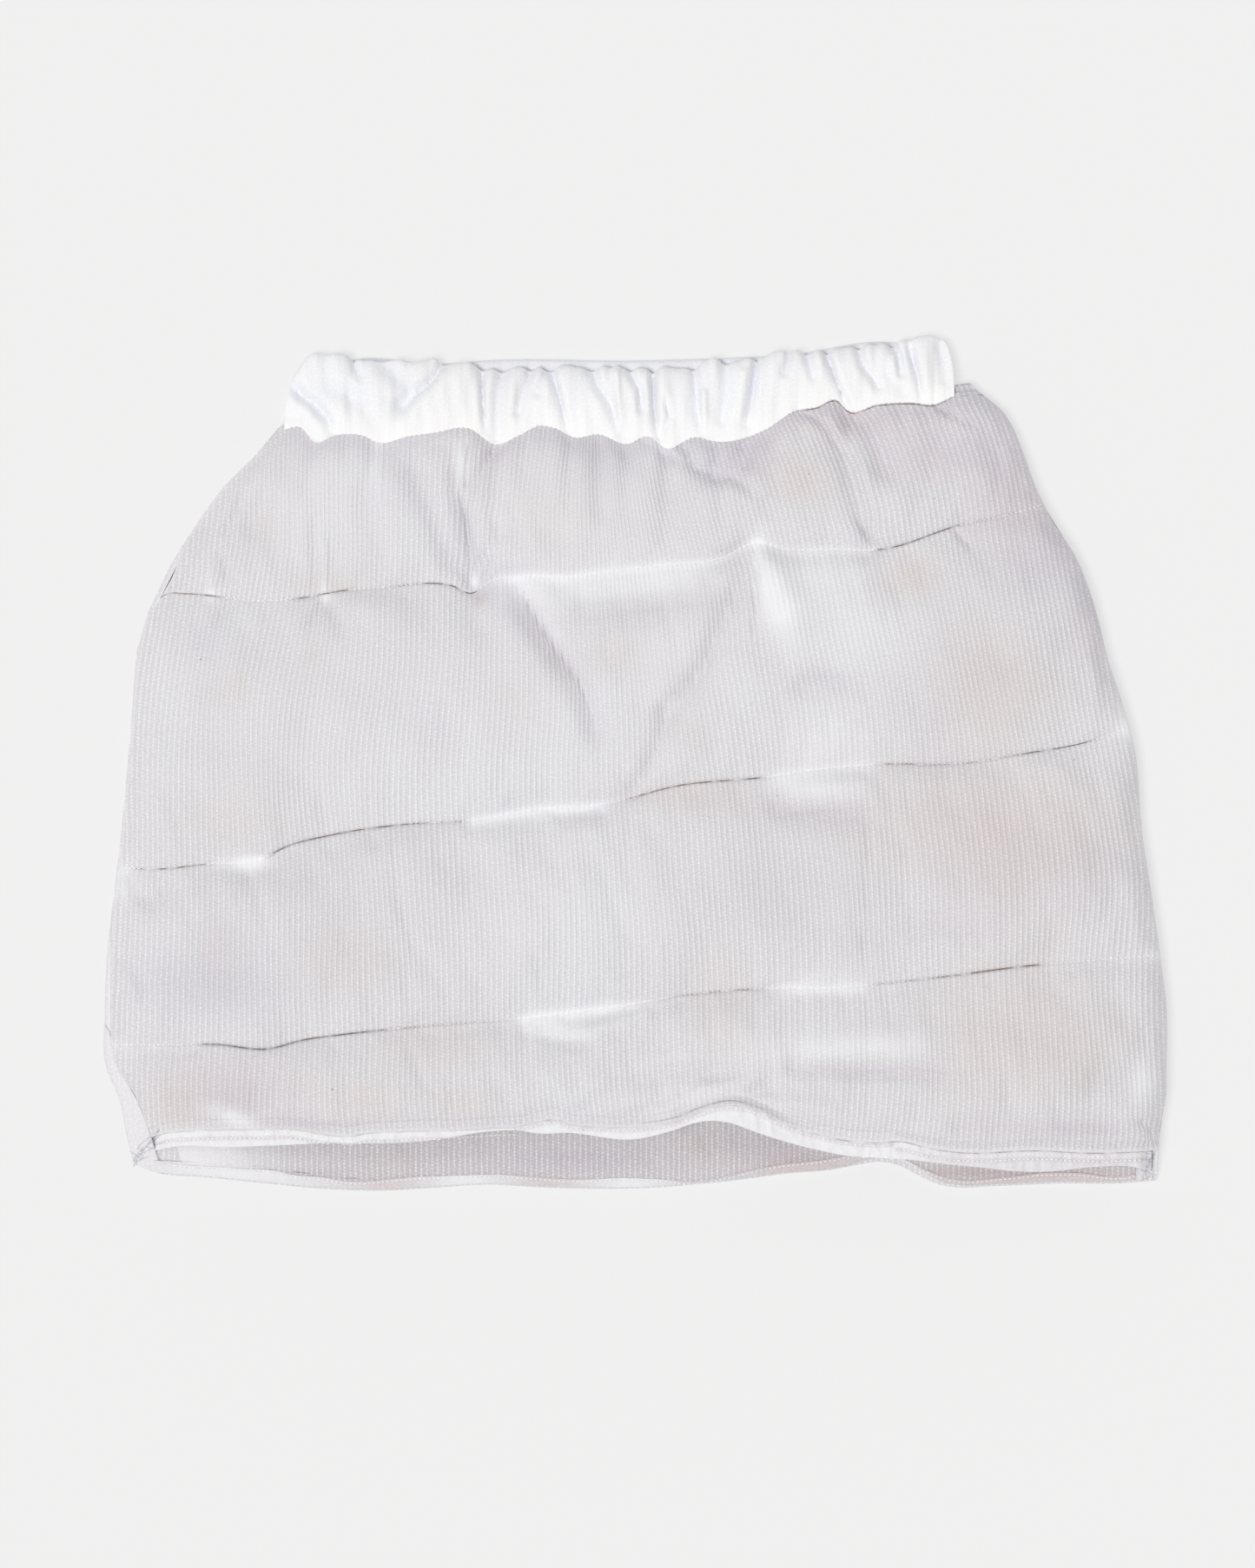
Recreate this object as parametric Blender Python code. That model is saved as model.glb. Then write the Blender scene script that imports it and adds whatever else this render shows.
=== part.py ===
"""A white padded petticoat skirt with a gathered waistband, lying flat with its front up.

The waist points to +Y, the hem to -Y and the front to +Z. Each piece is a closed wall over a net of
plan points, where rows run across the skirt and columns run from the waist to the hem. The front panel
is raised in four padded channels between rows of stitching, over a plain inside. Sizes and places are in
millimetres, and MM turns them into metres.
"""

import bmesh
import bpy
import numpy as np
from mathutils import Matrix

MM = 0.001
COLLECTION = "padded_petticoat_skirt"

# Walls and gaps
SEAM_GAP = 0.3
SIDE_GAP = 0.4
LINING_WALL = 1.0
LINING_REST = 0.5
LINING_HEM_WALL = 2.2
LINING_HEM_WIDTH = 7.0
SHELL_WALL = 2.6
SHELL_HEM_WIDTH = 5.0
TONGUE_WALL = 2.0
TONGUE_WIDTH = 4.0

# The padded back that lies on the floor
BACK_WALL = 9.5
BACK_WAIST_WALL = 6.0
BACK_HEM_TAPER = ((0.0, 3.2), (5.0, 7.0), (14.0, BACK_WALL))
EDGE_ROUNDING = 9.0
EDGE_LIFT = 6.0
SEAM_FOLD = 12.0
FOLD_GAP = 0.9
FOLD_STEP = 0.45

# The padded front: full thickness of each channel, and the free hollow under each row of stitching
ROW_WALL = 3.4
CHANNEL_PADDING = (11.5, 14.0, 13.0, 9.5)
HOLLOW_AT_ROWS = (0.6, 2.0, 5.0, 10.0, 16.0)
HOLLOW_ROUNDNESS = 4.0
PADDING_ROUNDNESS = 8.0
CHANNEL_FULLNESS = 2.4
SIDE_PADDING = 8.4
QUILTING_FADE = 9.0
CREASED_PADDING = 6.0

# The wave that lifts the front hem
WAVE_X = 47.0
WAVE_WIDTH = 36.0
WAVE_LENGTH = 1.8
WAVE_LIFT = 8.0

# The waistband, two gathered casings on each other
BAND_BACK_WALL = 6.2
BAND_UNDERSIDE = 6.8
BAND_LIP_UNDERSIDE = 12.1
BAND_LIP_WALL = 2.0
BAND_FULL_HEIGHT = 15.4
BAND_TOP_WALL = 2.4
BAND_END_ROUNDNESS = 10.0
BAND_STEP = 6.2
BAND_HEIGHT = 32.0
BAND_NARROWING = 5.0
BAND_LIP_ROWS = (0.6, TONGUE_WIDTH + 1.0)
BAND_PROFILE = (0.0, 0.6, 0.75, 1.0, 0.95, 0.6, 0.0)
BAND_BACK_FOLD = 0.6
GATHER_WIDTH = 3.4
BODY_GATHER_WIDTH = 5.0
GATHER_START = 8.0
GATHER_SPREAD = 0.0012

# Outline of the body laid flat, from the hem to the waist: y, left edge, right edge
OUTLINE = (
    (-213, -247, 258),
    (-200, -249, 259),
    (-181, -253, 260),
    (-163, -257, 263),
    (-155, -261, 263),
    (-120, -263, 263),
    (-95, -262, 260),
    (-60, -258, 255),
    (-34, -255, 251),
    (9, -251, 247),
    (34, -249, 240),
    (52, -248, 234),
    (69, -244, 230),
    (86, -237, 225),
    (103, -228, 218),
    (120, -217, 207),
    (138, -204, 198),
    (155, -187, 192),
    (167, -177, 187),
    (175, -172, 182),
    (186, -168, 169),
    (196, -164, 160),
)

# Seam lines of the front, each through x, y points from the left edge to the right edge
WAIST_LINE = (
    (-178, 167),
    (-150, 165),
    (-110, 163),
    (-70, 164),
    (-45, 166),
    (-10, 163),
    (30, 162),
    (60, 166),
    (80, 175),
    (105, 180),
    (140, 181),
    (170, 185),
)
ROW_1_LINE = (
    (-242, 76),
    (-230, 83),
    (-190, 81),
    (-143, 86),
    (-92, 88),
    (-80, 85),
    (-66, 91),
    (-36, 93),
    (16, 99),
    (42, 102),
    (60, 109),
    (73, 107),
    (122, 106),
    (160, 118),
    (200, 128),
)
ROW_2_LINE = (
    (-253, -52),
    (-212, -50),
    (-186, -47),
    (-173, -41),
    (-151, -35),
    (-83, -28),
    (-14, -19),
    (20, -11),
    (93, -2),
    (158, 0),
    (223, 11),
    (246, 18),
)
ROW_3_LINE = (
    (-260, -139),
    (-208, -139),
    (-181, -140),
    (-143, -133),
    (-57, -126),
    (-14, -120),
    (25, -114),
    (93, -110),
    (149, -105),
    (214, -98),
    (262, -94),
)
FRONT_HEM_LINE = (
    (-240, -189),
    (-224, -182),
    (-173, -181),
    (-143, -183),
    (-83, -180),
    (-40, -176),
    (-14, -179),
    (12, -179),
    (29, -176),
    (46, -169),
    (63, -172),
    (85, -181),
    (107, -185),
    (132, -184),
    (154, -188),
    (201, -192),
    (258, -192),
)
BACK_HEM_LINE = (
    (-247, -200),
    (-203, -206),
    (-177, -209),
    (-126, -212),
    (-57, -209),
    (-14, -211),
    (29, -209),
    (63, -205),
    (98, -202),
    (120, -199),
    (134, -203),
    (150, -209),
    (201, -209),
    (258, -207),
)

# How far the front lining's hem shows below the front hem: x, depth
LINING_SHOWS = (
    (-240, 6),
    (-190, 8),
    (-110, 7),
    (-65, 2),
    (-30, 5),
    (20, 5),
    (46, 4),
    (70, 8),
    (150, 8.5),
    (258, 8),
)
BACK_LINING_SHORT = 1.0
LINING_HEM_DROP = 1.5

# How far the back folds round onto the front along the left edge: channel position, width
BACK_FOLD = ((0.0, 2.0), (1.0, 4.0), (2.0, 3.5), (3.0, 5.5), (3.6, 8.0), (4.0, 12.0))

# Waistband: upper edge of the front casing and of the back casing, x, y
BAND_TOP_LINE = (
    (-174, 186),
    (-170, 193),
    (-163, 200),
    (-152, 203),
    (-143, 203),
    (-134, 200),
    (-108, 199),
    (-95, 202),
    (-78, 197),
    (-57, 198),
    (-14, 197),
    (12, 196),
    (38, 201),
    (64, 203),
    (72, 205),
    (107, 207),
    (124, 209),
    (141, 212),
    (150, 212.5),
    (155, 210),
    (159, 202),
)
BAND_BACK_TOP_LINE = (
    (-172, 184),
    (-150, 198),
    (-95, 199),
    (-72, 200),
    (0, 200),
    (40, 201.5),
    (72, 203),
    (140, 207),
    (156, 200),
)
BAND_LEFT = -174.0
BAND_RIGHT = 158.0

# Creases of the front, each from one point to another: x, y, x, y, half width, depth (a ridge is negative)
CREASES = (
    (-86, 160, -80, 86, 6.5, 4.0),
    (100, 174, 116, 135, 6.0, 3.5),
    (116, 135, 122, 108, 5.5, 4.5),
    (-56, 81, -18, 21, 12.0, 3.0),
    (55, 102, 44, 68, 7.0, 3.0),
    (44, 68, 25, 34, 8.0, 3.0),
    (25, 34, -13, -19, 9.0, 2.5),
    (64, 104, 66, 51, 9.0, -2.5),
    (-39, 53, -13, 52, 5.0, 1.5),
    (-39, -172, 12, -138, 8.0, 2.0),
    (30, -168, 72, -149, 9.0, -3.0),
    (115, -78, 163, -84, 6.0, 1.5),
    (115, -133, 180, -129, 6.0, 1.5),
    (-166, 160, -186, 120, 7.0, 2.0),
    (43, 158, 60, 112, 6.0, 2.5),
    (172, 170, 190, 128, 8.0, 2.0),
    (-212, 120, -232, 90, 8.0, 1.5),
)

# Gathers at the waist: x at the seam, lean to the upper edge, band depth, body depth, body length
GATHERS = (
    (-159, 2, 1.6, 2.0, 60),
    (-142, 0, 1.2, 1.0, 40),
    (-126, -2, 1.6, 1.5, 45),
    (-108, 14, 2.0, 1.0, 30),
    (-85, 0, 1.6, 1.0, 30),
    (-69, 0, 2.2, 2.0, 55),
    (-54, 3, 1.8, 1.2, 40),
    (-44, -2, 1.6, 1.0, 35),
    (-32, 2, 1.6, 1.4, 45),
    (-18, 0, 2.2, 1.8, 60),
    (-5, -1, 2.4, 2.0, 50),
    (5, 1, 1.6, 1.0, 30),
    (15, -2, 2.6, 2.2, 60),
    (27, 2, 1.6, 1.0, 35),
    (40, 3, 2.2, 1.5, 50),
    (52, 0, 1.2, 1.0, 40),
    (65, -2, 2.0, 1.8, 50),
    (81, 5, 1.6, 1.0, 30),
    (91, -2, 1.6, 1.2, 40),
    (104, -10, 2.6, 1.5, 50),
    (117, 0, 1.6, 1.2, 40),
    (130, 2, 1.8, 1.2, 35),
    (142, 1, 1.6, 1.0, 30),
    (152, 0, 1.2, 0.8, 25),
)

# Net sizes
FRONT_COLUMNS = 58
CHANNEL_FRACTIONS = (0.0, 0.06, 0.25, 0.5, 0.75, 0.94)
BACK_COLUMNS = 30
BACK_FRACTIONS = (0.0, 0.06, 0.25, 0.5, 0.75)
BACK_POSITIONS = (*(channel + part for channel in range(4) for part in BACK_FRACTIONS), 4.0, 5.0)
ROW_CLEARANCE = 1.5
FOLD_PARTS = (0.0, 0.12, 0.4, 0.75, 1.0)
EDGE_PARTS = (0.45, 0.8, 1.0)
EDGE_CROWDING = 1.35
BAND_COLUMNS = 84
BAND_BACK_COLUMNS = 44
BAND_ROW_FRACTIONS = (0.3, 0.62, 0.86, 1.0)
BAND_BACK_ROW_FRACTIONS = (0.35, 0.8, 1.0)
LINING_ROWS = [1, 4, 7, 10, 13, 16, 19, 21, 23, 25]
LINING_SIDE_COLUMNS = 10
BACK_LINING_ROWS = [0, 3, 5, 8, 10, 13, 15, 18, 20, 21, 22, 23, 24]
PLAN_STEPS = 12

# Colour and roughness of each cloth
CLOTHS = {
    "ribbed_cotton": ((0.83, 0.81, 0.82), 0.92),
    "lining_cotton": ((0.80, 0.78, 0.79), 0.93),
    "band_cotton": ((0.88, 0.87, 0.90), 0.9),
}


def curve_through(points):
    """A smooth line through measured points, level beyond its ends."""
    places, values = np.array(points, dtype=float).T
    slopes = np.gradient(values, places)

    def line(place):
        place = np.clip(place, places[0], places[-1])
        first = np.clip(np.searchsorted(places, place) - 1, 0, len(places) - 2)
        step = places[first + 1] - places[first]
        part = (place - places[first]) / step
        bend = part * part * (3 - 2 * part)
        leave = part * (1 - part) ** 2
        arrive = -part * part * (1 - part)
        level = values[first] + (values[first + 1] - values[first]) * bend
        return level + step * (slopes[first] * leave + slopes[first + 1] * arrive)

    return line


def steps_between(points):
    """A line made of straight steps between measured points."""
    places, values = np.array(points, dtype=float).T
    return lambda place: np.interp(place, places, values)


def smooth_step(value):
    """A rise from 0 to 1 with soft ends."""
    value = np.clip(value, 0.0, 1.0)
    return value * value * (3 - 2 * value)


def crowded(count):
    """Places from -1 to 1, closer together towards both ends."""
    even = np.linspace(-1.0, 1.0, count + 1)
    return np.sign(even) * (1 - (1 - np.abs(even)) ** EDGE_CROWDING)


left_edge = curve_through([(y, left) for y, left, _ in OUTLINE])
right_edge = curve_through([(y, right) for y, _, right in OUTLINE])
waist_line = curve_through(WAIST_LINE)
row_1_line = curve_through(ROW_1_LINE)
row_2_line = curve_through(ROW_2_LINE)
row_3_line = curve_through(ROW_3_LINE)
front_hem_line = curve_through(FRONT_HEM_LINE)
back_hem_line = curve_through(BACK_HEM_LINE)
lining_shows = curve_through(LINING_SHOWS)
band_top_line = curve_through(BAND_TOP_LINE)
band_back_top_line = curve_through(BAND_BACK_TOP_LINE)
back_fold = steps_between(BACK_FOLD)
back_hem_taper = steps_between(BACK_HEM_TAPER)


def front_hem_stitch(x):
    """The stitch line of the front hem, where the last channel ends."""
    return front_hem_line(x) + SHELL_HEM_WIDTH


FRONT_LINES = (waist_line, row_1_line, row_2_line, row_3_line, front_hem_stitch)


def channel_at(x, y):
    """Channel position of a plan point: 0 on the waist line, 1 to 3 on the rows, 4 on the hem stitching.

    The tongue under the waistband goes down to -1, and the turned hem up to 5.
    """
    lines = [line(x) for line in FRONT_LINES]
    position = np.clip((lines[0] - y) / TONGUE_WIDTH, -1.0, 0.0)
    for upper, lower in zip(lines, lines[1:]):
        position = position + np.clip((upper - y) / (upper - lower), 0.0, 1.0)
    return position + np.clip((lines[-1] - y) / SHELL_HEM_WIDTH, 0.0, 1.0)


def front_y(x, position):
    """The y of a channel position over x."""
    lines = np.array([line(x) for line in FRONT_LINES])
    first = np.clip(np.floor(position).astype(int), 0, 3)
    part = np.clip(position, 0.0, 4.0) - first
    upper = np.take_along_axis(lines, first[None], axis=0)[0]
    lower = np.take_along_axis(lines, first[None] + 1, axis=0)[0]
    tongue = np.clip(-position, 0.0, 1.0) * TONGUE_WIDTH
    turned = np.clip(position - 4.0, 0.0, 1.0) * SHELL_HEM_WIDTH
    return upper + (lower - upper) * part + tongue - turned


def seam_x(y, position):
    """The left side seam, where the front panel meets the back that folds round onto it."""
    return left_edge(y) + back_fold(position)


def front_side(x, y):
    """How far a point of the front lies from its middle, -1 and 1 on its side seams."""
    left = seam_x(y, channel_at(x, y))
    right = right_edge(y)
    return np.clip((2 * x - left - right) / (right - left), -1.0, 1.0)


def from_side(x, y):
    """Distance of a point of the front from its nearer side seam."""
    return np.minimum(x - seam_x(y, channel_at(x, y)), right_edge(y) - x)


def base_height(x, y):
    """Top of the padded back before its hem thins: it rises over the first channel."""
    return BACK_WAIST_WALL + (BACK_WALL - BACK_WAIST_WALL) * np.clip(channel_at(x, y), 0.0, 1.0)


def back_top(x, y):
    """Top of the padded back, thin at its hem."""
    return np.minimum(base_height(x, y), back_hem_taper(y - back_hem_line(x)))


def hollow(x, y):
    """Free height between the two linings, lifted by the wave of the front hem."""
    position = channel_at(x, y)
    height = np.interp(position, range(5), HOLLOW_AT_ROWS)
    near_hem = np.clip(1 - (5.0 - position) / WAVE_LENGTH, 0.0, 1.0) ** 2
    wave = near_hem * np.exp(-(((x - WAVE_X) / WAVE_WIDTH) ** 2))
    arch = (1 - np.abs(front_side(x, y)) ** HOLLOW_ROUNDNESS) ** 0.7
    return height * arch + WAVE_LIFT * wave


def front_bottom(x, y):
    """Inside of the front panel, over both linings."""
    linings = 2 * SEAM_GAP + 2 * LINING_WALL + LINING_REST - SIDE_GAP
    room = linings * smooth_step(from_side(x, y) / SEAM_FOLD)
    return base_height(x, y) + SIDE_GAP + room + hollow(x, y)


def padding(x, y):
    """Thickness of the front panel: full in a channel, thin at a row, the hem and the tongue."""
    position = channel_at(x, y)
    channel = np.clip(np.floor(position).astype(int), 0, 3)
    part = np.clip(position - channel, 0.0, 1.0)
    puff = np.sqrt(1 - np.abs(2 * part - 1) ** CHANNEL_FULLNESS)
    full = np.take(CHANNEL_PADDING, channel)
    inside = (position > 0.0) & (position < 4.0)
    turned_hem = ROW_WALL + (SHELL_WALL - ROW_WALL) * np.clip(position - 4.0, 0.0, 1.0)
    at_edge = np.where(position > 2.0, turned_hem, TONGUE_WALL)
    return np.where(inside, ROW_WALL + (full - ROW_WALL) * puff, at_edge)


def creases(x, y):
    """Depth of the creases and of the gathers below the waist seam."""
    depth = np.zeros_like(x)
    for from_x, from_y, to_x, to_y, width, deep in CREASES:
        run_x, run_y = to_x - from_x, to_y - from_y
        along = ((x - from_x) * run_x + (y - from_y) * run_y) / (run_x**2 + run_y**2)
        along = np.clip(along, 0.0, 1.0)
        away = np.hypot(x - from_x - along * run_x, y - from_y - along * run_y)
        depth = depth + deep * np.exp(-((away / width) ** 2))
    below = waist_line(x) - y
    for seam_place, _, _, deep, length in GATHERS:
        fade = np.clip(1 - below / length, 0.0, 1.0) * smooth_step(below / GATHER_START)
        spread = seam_place * (1 + GATHER_SPREAD * below)
        depth = depth + deep * fade * np.exp(-(((x - spread) / BODY_GATHER_WIDTH) ** 2))
    return depth


def front_top(x, y):
    """Outside of the front panel, quilted and creased."""
    edge = (1 - np.abs(front_side(x, y)) ** PADDING_ROUNDNESS) ** 0.5
    quilted = smooth_step(from_side(x, y) / QUILTING_FADE)
    inside = np.abs(channel_at(x, y) - 2.0) < 2.0
    padded = np.where(inside, SIDE_PADDING + (padding(x, y) - SIDE_PADDING) * quilted, padding(x, y))
    room = np.maximum(padded - SHELL_WALL, 0.0) * edge
    creased = room - creases(x, y) * np.clip(room / CREASED_PADDING, 0.0, 1.0)
    return front_bottom(x, y) + np.minimum(padded, SHELL_WALL) + np.maximum(creased, 0.0)


def front_net():
    """Plan points of the front panel, rows from the tongue to the hem."""
    rows = [channel + part for channel in range(4) for part in CHANNEL_FRACTIONS]
    rows = np.array([-1.0, *rows, 4.0, 5.0])
    across, position = np.meshgrid(crowded(FRONT_COLUMNS), rows)
    x = 230.0 * across
    for _ in range(PLAN_STEPS):
        y = front_y(x, position)
        left, right = seam_x(y, position), right_edge(y)
        x = (left + right) / 2 + across * (right - left) / 2
    return x, front_y(x, position)


def back_y(x, row):
    """The y of a row of the back: below the front's own rows, then on each step of the hem taper."""
    hem = back_hem_line(x)
    count = len(BACK_POSITIONS)
    position = np.take(BACK_POSITIONS, np.minimum(row, count - 1)) + 0.0 * x
    clear_of_taper = hem + BACK_HEM_TAPER[-1][0] + ROW_CLEARANCE * (count - row)
    under_front = np.maximum(front_y(x, position), clear_of_taper)
    taper = [place for place, _ in BACK_HEM_TAPER[::-1]]
    near_hem = hem + np.take(taper, np.clip(row - count, 0, len(taper) - 1))
    return np.where(row < count, under_front, near_hem)


def back_net():
    """Plan points of the back panel, and how many of its first columns cross the fold beside the front."""
    fold, edge = len(FOLD_PARTS), len(EDGE_PARTS)
    columns = np.arange(fold + BACK_COLUMNS + edge)
    column, row = np.meshgrid(columns, np.arange(len(BACK_POSITIONS) + len(BACK_HEM_TAPER)))
    fold_part = np.take(FOLD_PARTS, np.minimum(column, fold - 1))
    flat_part = np.clip((column - fold) / (BACK_COLUMNS - 1), 0.0, 1.0)
    edge_part = np.take(EDGE_PARTS, np.clip(column - fold - BACK_COLUMNS, 0, edge - 1))
    x = 500.0 * column / columns[-1] - 250.0
    for _ in range(PLAN_STEPS):
        y = back_y(x, row)
        left, right = left_edge(y), right_edge(y)
        seam = seam_x(y, channel_at(x, y))
        flat_end = right - EDGE_ROUNDING
        on_fold = left + (seam - FOLD_GAP - left) * fold_part
        on_flat = seam - FOLD_STEP + (flat_end - seam + FOLD_STEP) * flat_part
        on_edge = flat_end + EDGE_ROUNDING * edge_part
        x = np.where(column < fold, on_fold, np.where(column < fold + BACK_COLUMNS, on_flat, on_edge))
    return x, back_y(x, row), fold


def back_bottom(x, y):
    """Underside of the back: flat on the floor, rounded up to both edges."""
    inward = np.minimum(x - left_edge(y), right_edge(y) - x)
    round_part = np.clip(1 - inward / EDGE_ROUNDING, 0.0, 1.0)
    lift = np.minimum(EDGE_LIFT, back_top(x, y) - SHELL_WALL)
    return np.maximum(lift, 0.0) * (1 - np.sqrt(1 - round_part**2))


def fold_top(x, y):
    """Top of the back's fold beside the front panel, level with the front at the seam."""
    position = channel_at(x, y)
    seam = seam_x(y, position)
    at_seam = front_top(seam, y) - SEAM_GAP
    part = np.clip((seam - x) / np.maximum(seam - left_edge(y), 0.1), 0.0, 1.0)
    at_edge = back_top(x, y) - 1.0
    return at_edge + (at_seam - at_edge) * np.sqrt(1 - part**2.5)


def slab(name, cloth, net, bottom, top):
    """One closed wall over a net of plan points, from its bottom heights to its top heights."""
    x, y = net
    rows, columns = x.shape
    builder = bmesh.new()
    for level in (0, 1):
        bmesh.ops.create_grid(
            builder,
            x_segments=columns - 1,
            y_segments=rows - 1,
            size=1.0,
            matrix=Matrix.Translation((0.0, 0.0, float(level))),
        )
    rim = [edge for edge in builder.edges if edge.is_boundary]
    bmesh.ops.bridge_loops(builder, edges=rim)
    for vert in builder.verts:
        column = round((vert.co.x + 1) / 2 * (columns - 1))
        row = round((vert.co.y + 1) / 2 * (rows - 1))
        height = top[row, column] if vert.co.z > 0.5 else bottom[row, column]
        vert.co = (x[row, column] * MM, y[row, column] * MM, height * MM)
    bmesh.ops.triangulate(builder, faces=builder.faces, quad_method="SHORT_EDGE")
    bmesh.ops.recalc_face_normals(builder, faces=builder.faces)
    mesh = bpy.data.meshes.new(name)
    builder.to_mesh(mesh)
    builder.free()
    mesh.shade_smooth()
    mesh.materials.append(cloth)
    piece = bpy.data.objects.new(name, mesh)
    bpy.data.collections[COLLECTION].objects.link(piece)
    return piece


def make_front_panel(cloth):
    """The quilted front: shell and padding as one wall."""
    net = front_net()
    slab("front_panel", cloth, net, front_bottom(*net), front_top(*net))


def make_back_panel(cloth):
    """The padded back, flat on the floor, folded round onto the front at the left."""
    x, y, fold_columns = back_net()
    top = back_top(x, y)
    top[:, :fold_columns] = fold_top(x, y)[:, :fold_columns]
    slab("back_panel", cloth, (x, y), back_bottom(x, y), top)


def make_front_lining(cloth):
    """The front lining, on the panel's own points, with a turned hem that shows below the front hem."""
    x, y = front_net()
    x, y = (grid[LINING_ROWS, LINING_SIDE_COLUMNS:-LINING_SIDE_COLUMNS] for grid in (x, y))
    y[0] -= BACK_LINING_SHORT
    hem = front_hem_line(x[-1])
    edge = hem - lining_shows(x[-1])
    fold = edge + LINING_HEM_WIDTH
    x, y = np.vstack([x, x[-1], x[-1]]), np.vstack([np.maximum(y, fold + 1.0), fold, edge])
    top = front_bottom(x, np.maximum(y, hem)) - SEAM_GAP
    top[-1] -= LINING_HEM_DROP
    walls = np.full((len(x), 1), LINING_WALL)
    walls[-2:] = LINING_HEM_WALL
    slab("front_lining", cloth, (x, y), top - walls, top)


def make_back_lining(cloth):
    """The back lining, on the back panel's own points, with a turned hem."""
    x, y, fold_columns = back_net()
    inner = slice(fold_columns + 2, fold_columns + BACK_COLUMNS - 2)
    x, y = x[BACK_LINING_ROWS, inner], y[BACK_LINING_ROWS, inner]
    y[0] -= BACK_LINING_SHORT
    y[-1] += BACK_LINING_SHORT
    bottom = back_top(x, y) + SEAM_GAP
    walls = np.full((len(x), 1), LINING_WALL)
    walls[-2:] = LINING_HEM_WALL
    slab("back_lining", cloth, (x, y), bottom, bottom + walls)


def band_net(columns, lower, upper, fractions):
    """Plan points of a waistband casing between its lower and upper edges."""
    parts = np.array([0.0, *fractions])
    across, part = np.meshgrid(np.linspace(0.0, 1.0, columns + 1), parts)
    narrowing = BAND_NARROWING * np.clip(2 * part - 1, 0.0, 1.0) ** 2
    left, right = BAND_LEFT + narrowing, BAND_RIGHT - narrowing
    x = left + (right - left) * across
    low, high = lower(x), upper(x)
    return x, low + (high - low) * part


def band_gathers(x, y):
    """Depth of the gathers in the front casing."""
    up = np.clip((y - waist_line(x)) / BAND_HEIGHT, 0.0, 1.0)
    depth = np.zeros_like(x)
    for seam_place, lean, deep, _, _ in GATHERS:
        depth = depth + deep * np.exp(-(((x - seam_place - lean * up) / GATHER_WIDTH) ** 2))
    return depth


def make_front_band(cloth):
    """The front casing: its lip laps over the front panel's tongue, and its face is gathered."""
    x, y = band_net(BAND_COLUMNS, lambda x: waist_line(x) + BAND_STEP, band_top_line, BAND_ROW_FRACTIONS)
    lip_rows = len(BAND_LIP_ROWS)
    lip_x = np.vstack([x[0]] * lip_rows)
    lip_y = waist_line(lip_x) + np.array(BAND_LIP_ROWS)[:, None]
    x, y = np.vstack([lip_x, x]), np.vstack([lip_y, y])
    half = (BAND_RIGHT - BAND_LEFT) / 2
    side = np.clip(np.abs(x - BAND_LEFT - half) / half, 0.0, 1.0)
    fullness = np.array(BAND_PROFILE)[:, None] * (1 - side**BAND_END_ROUNDNESS) ** 0.5
    bottom = np.full(x.shape, BAND_UNDERSIDE)
    bottom[:lip_rows] = BAND_LIP_UNDERSIDE
    edge_top = bottom + BAND_TOP_WALL
    top = edge_top + (BAND_FULL_HEIGHT - edge_top - band_gathers(x, y)) * fullness
    slab("waistband_front", cloth, (x, y), bottom, np.maximum(top, bottom + BAND_LIP_WALL))


def make_back_band(cloth):
    """The back casing, flat on the floor under the front casing."""
    lower = lambda x: waist_line(x) + SIDE_GAP
    x, y = band_net(BAND_BACK_COLUMNS, lower, band_back_top_line, BAND_BACK_ROW_FRACTIONS)
    top = np.full(x.shape, BAND_BACK_WALL)
    top[-1] *= BAND_BACK_FOLD
    slab("waistband_back", cloth, (x, y), np.zeros_like(x), top)


def make_cloth(name):
    """A plain cloth material."""
    colour, roughness = CLOTHS[name]
    cloth = bpy.data.materials.new(name)
    cloth.use_nodes = True
    shader = cloth.node_tree.nodes["Principled BSDF"]
    shader.inputs["Base Color"].default_value = (*colour, 1.0)
    shader.inputs["Roughness"].default_value = roughness
    shader.inputs["Metallic"].default_value = 0.0
    return cloth


def clear_scene():
    """Remove what the scene starts with."""
    for thing in list(bpy.data.objects):
        bpy.data.objects.remove(thing, do_unlink=True)


def main():
    """Build the skirt."""
    clear_scene()
    collection = bpy.data.collections.new(COLLECTION)
    bpy.context.scene.collection.children.link(collection)
    shell, lining, band = (make_cloth(name) for name in CLOTHS)
    make_front_panel(shell)
    make_back_panel(shell)
    make_front_lining(lining)
    make_back_lining(lining)
    make_front_band(band)
    make_back_band(band)


main()
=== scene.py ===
"""The looks of a white padded petticoat skirt that lies flat with its front up.

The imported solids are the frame, and each one is replaced by a finer piece of cloth in the same place.
Every piece is a closed wall over nets of plan points: rows run across the skirt, from the waist to the
hem, and columns follow the ribs of the cloth. Sizes and places are in millimetres until a mesh is made.
"""

from __future__ import annotations

import logging
import math
from collections.abc import Callable
from dataclasses import dataclass, field
from enum import Enum

import bpy
import numpy as np
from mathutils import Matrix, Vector
from mathutils.bvhtree import BVHTree

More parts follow.
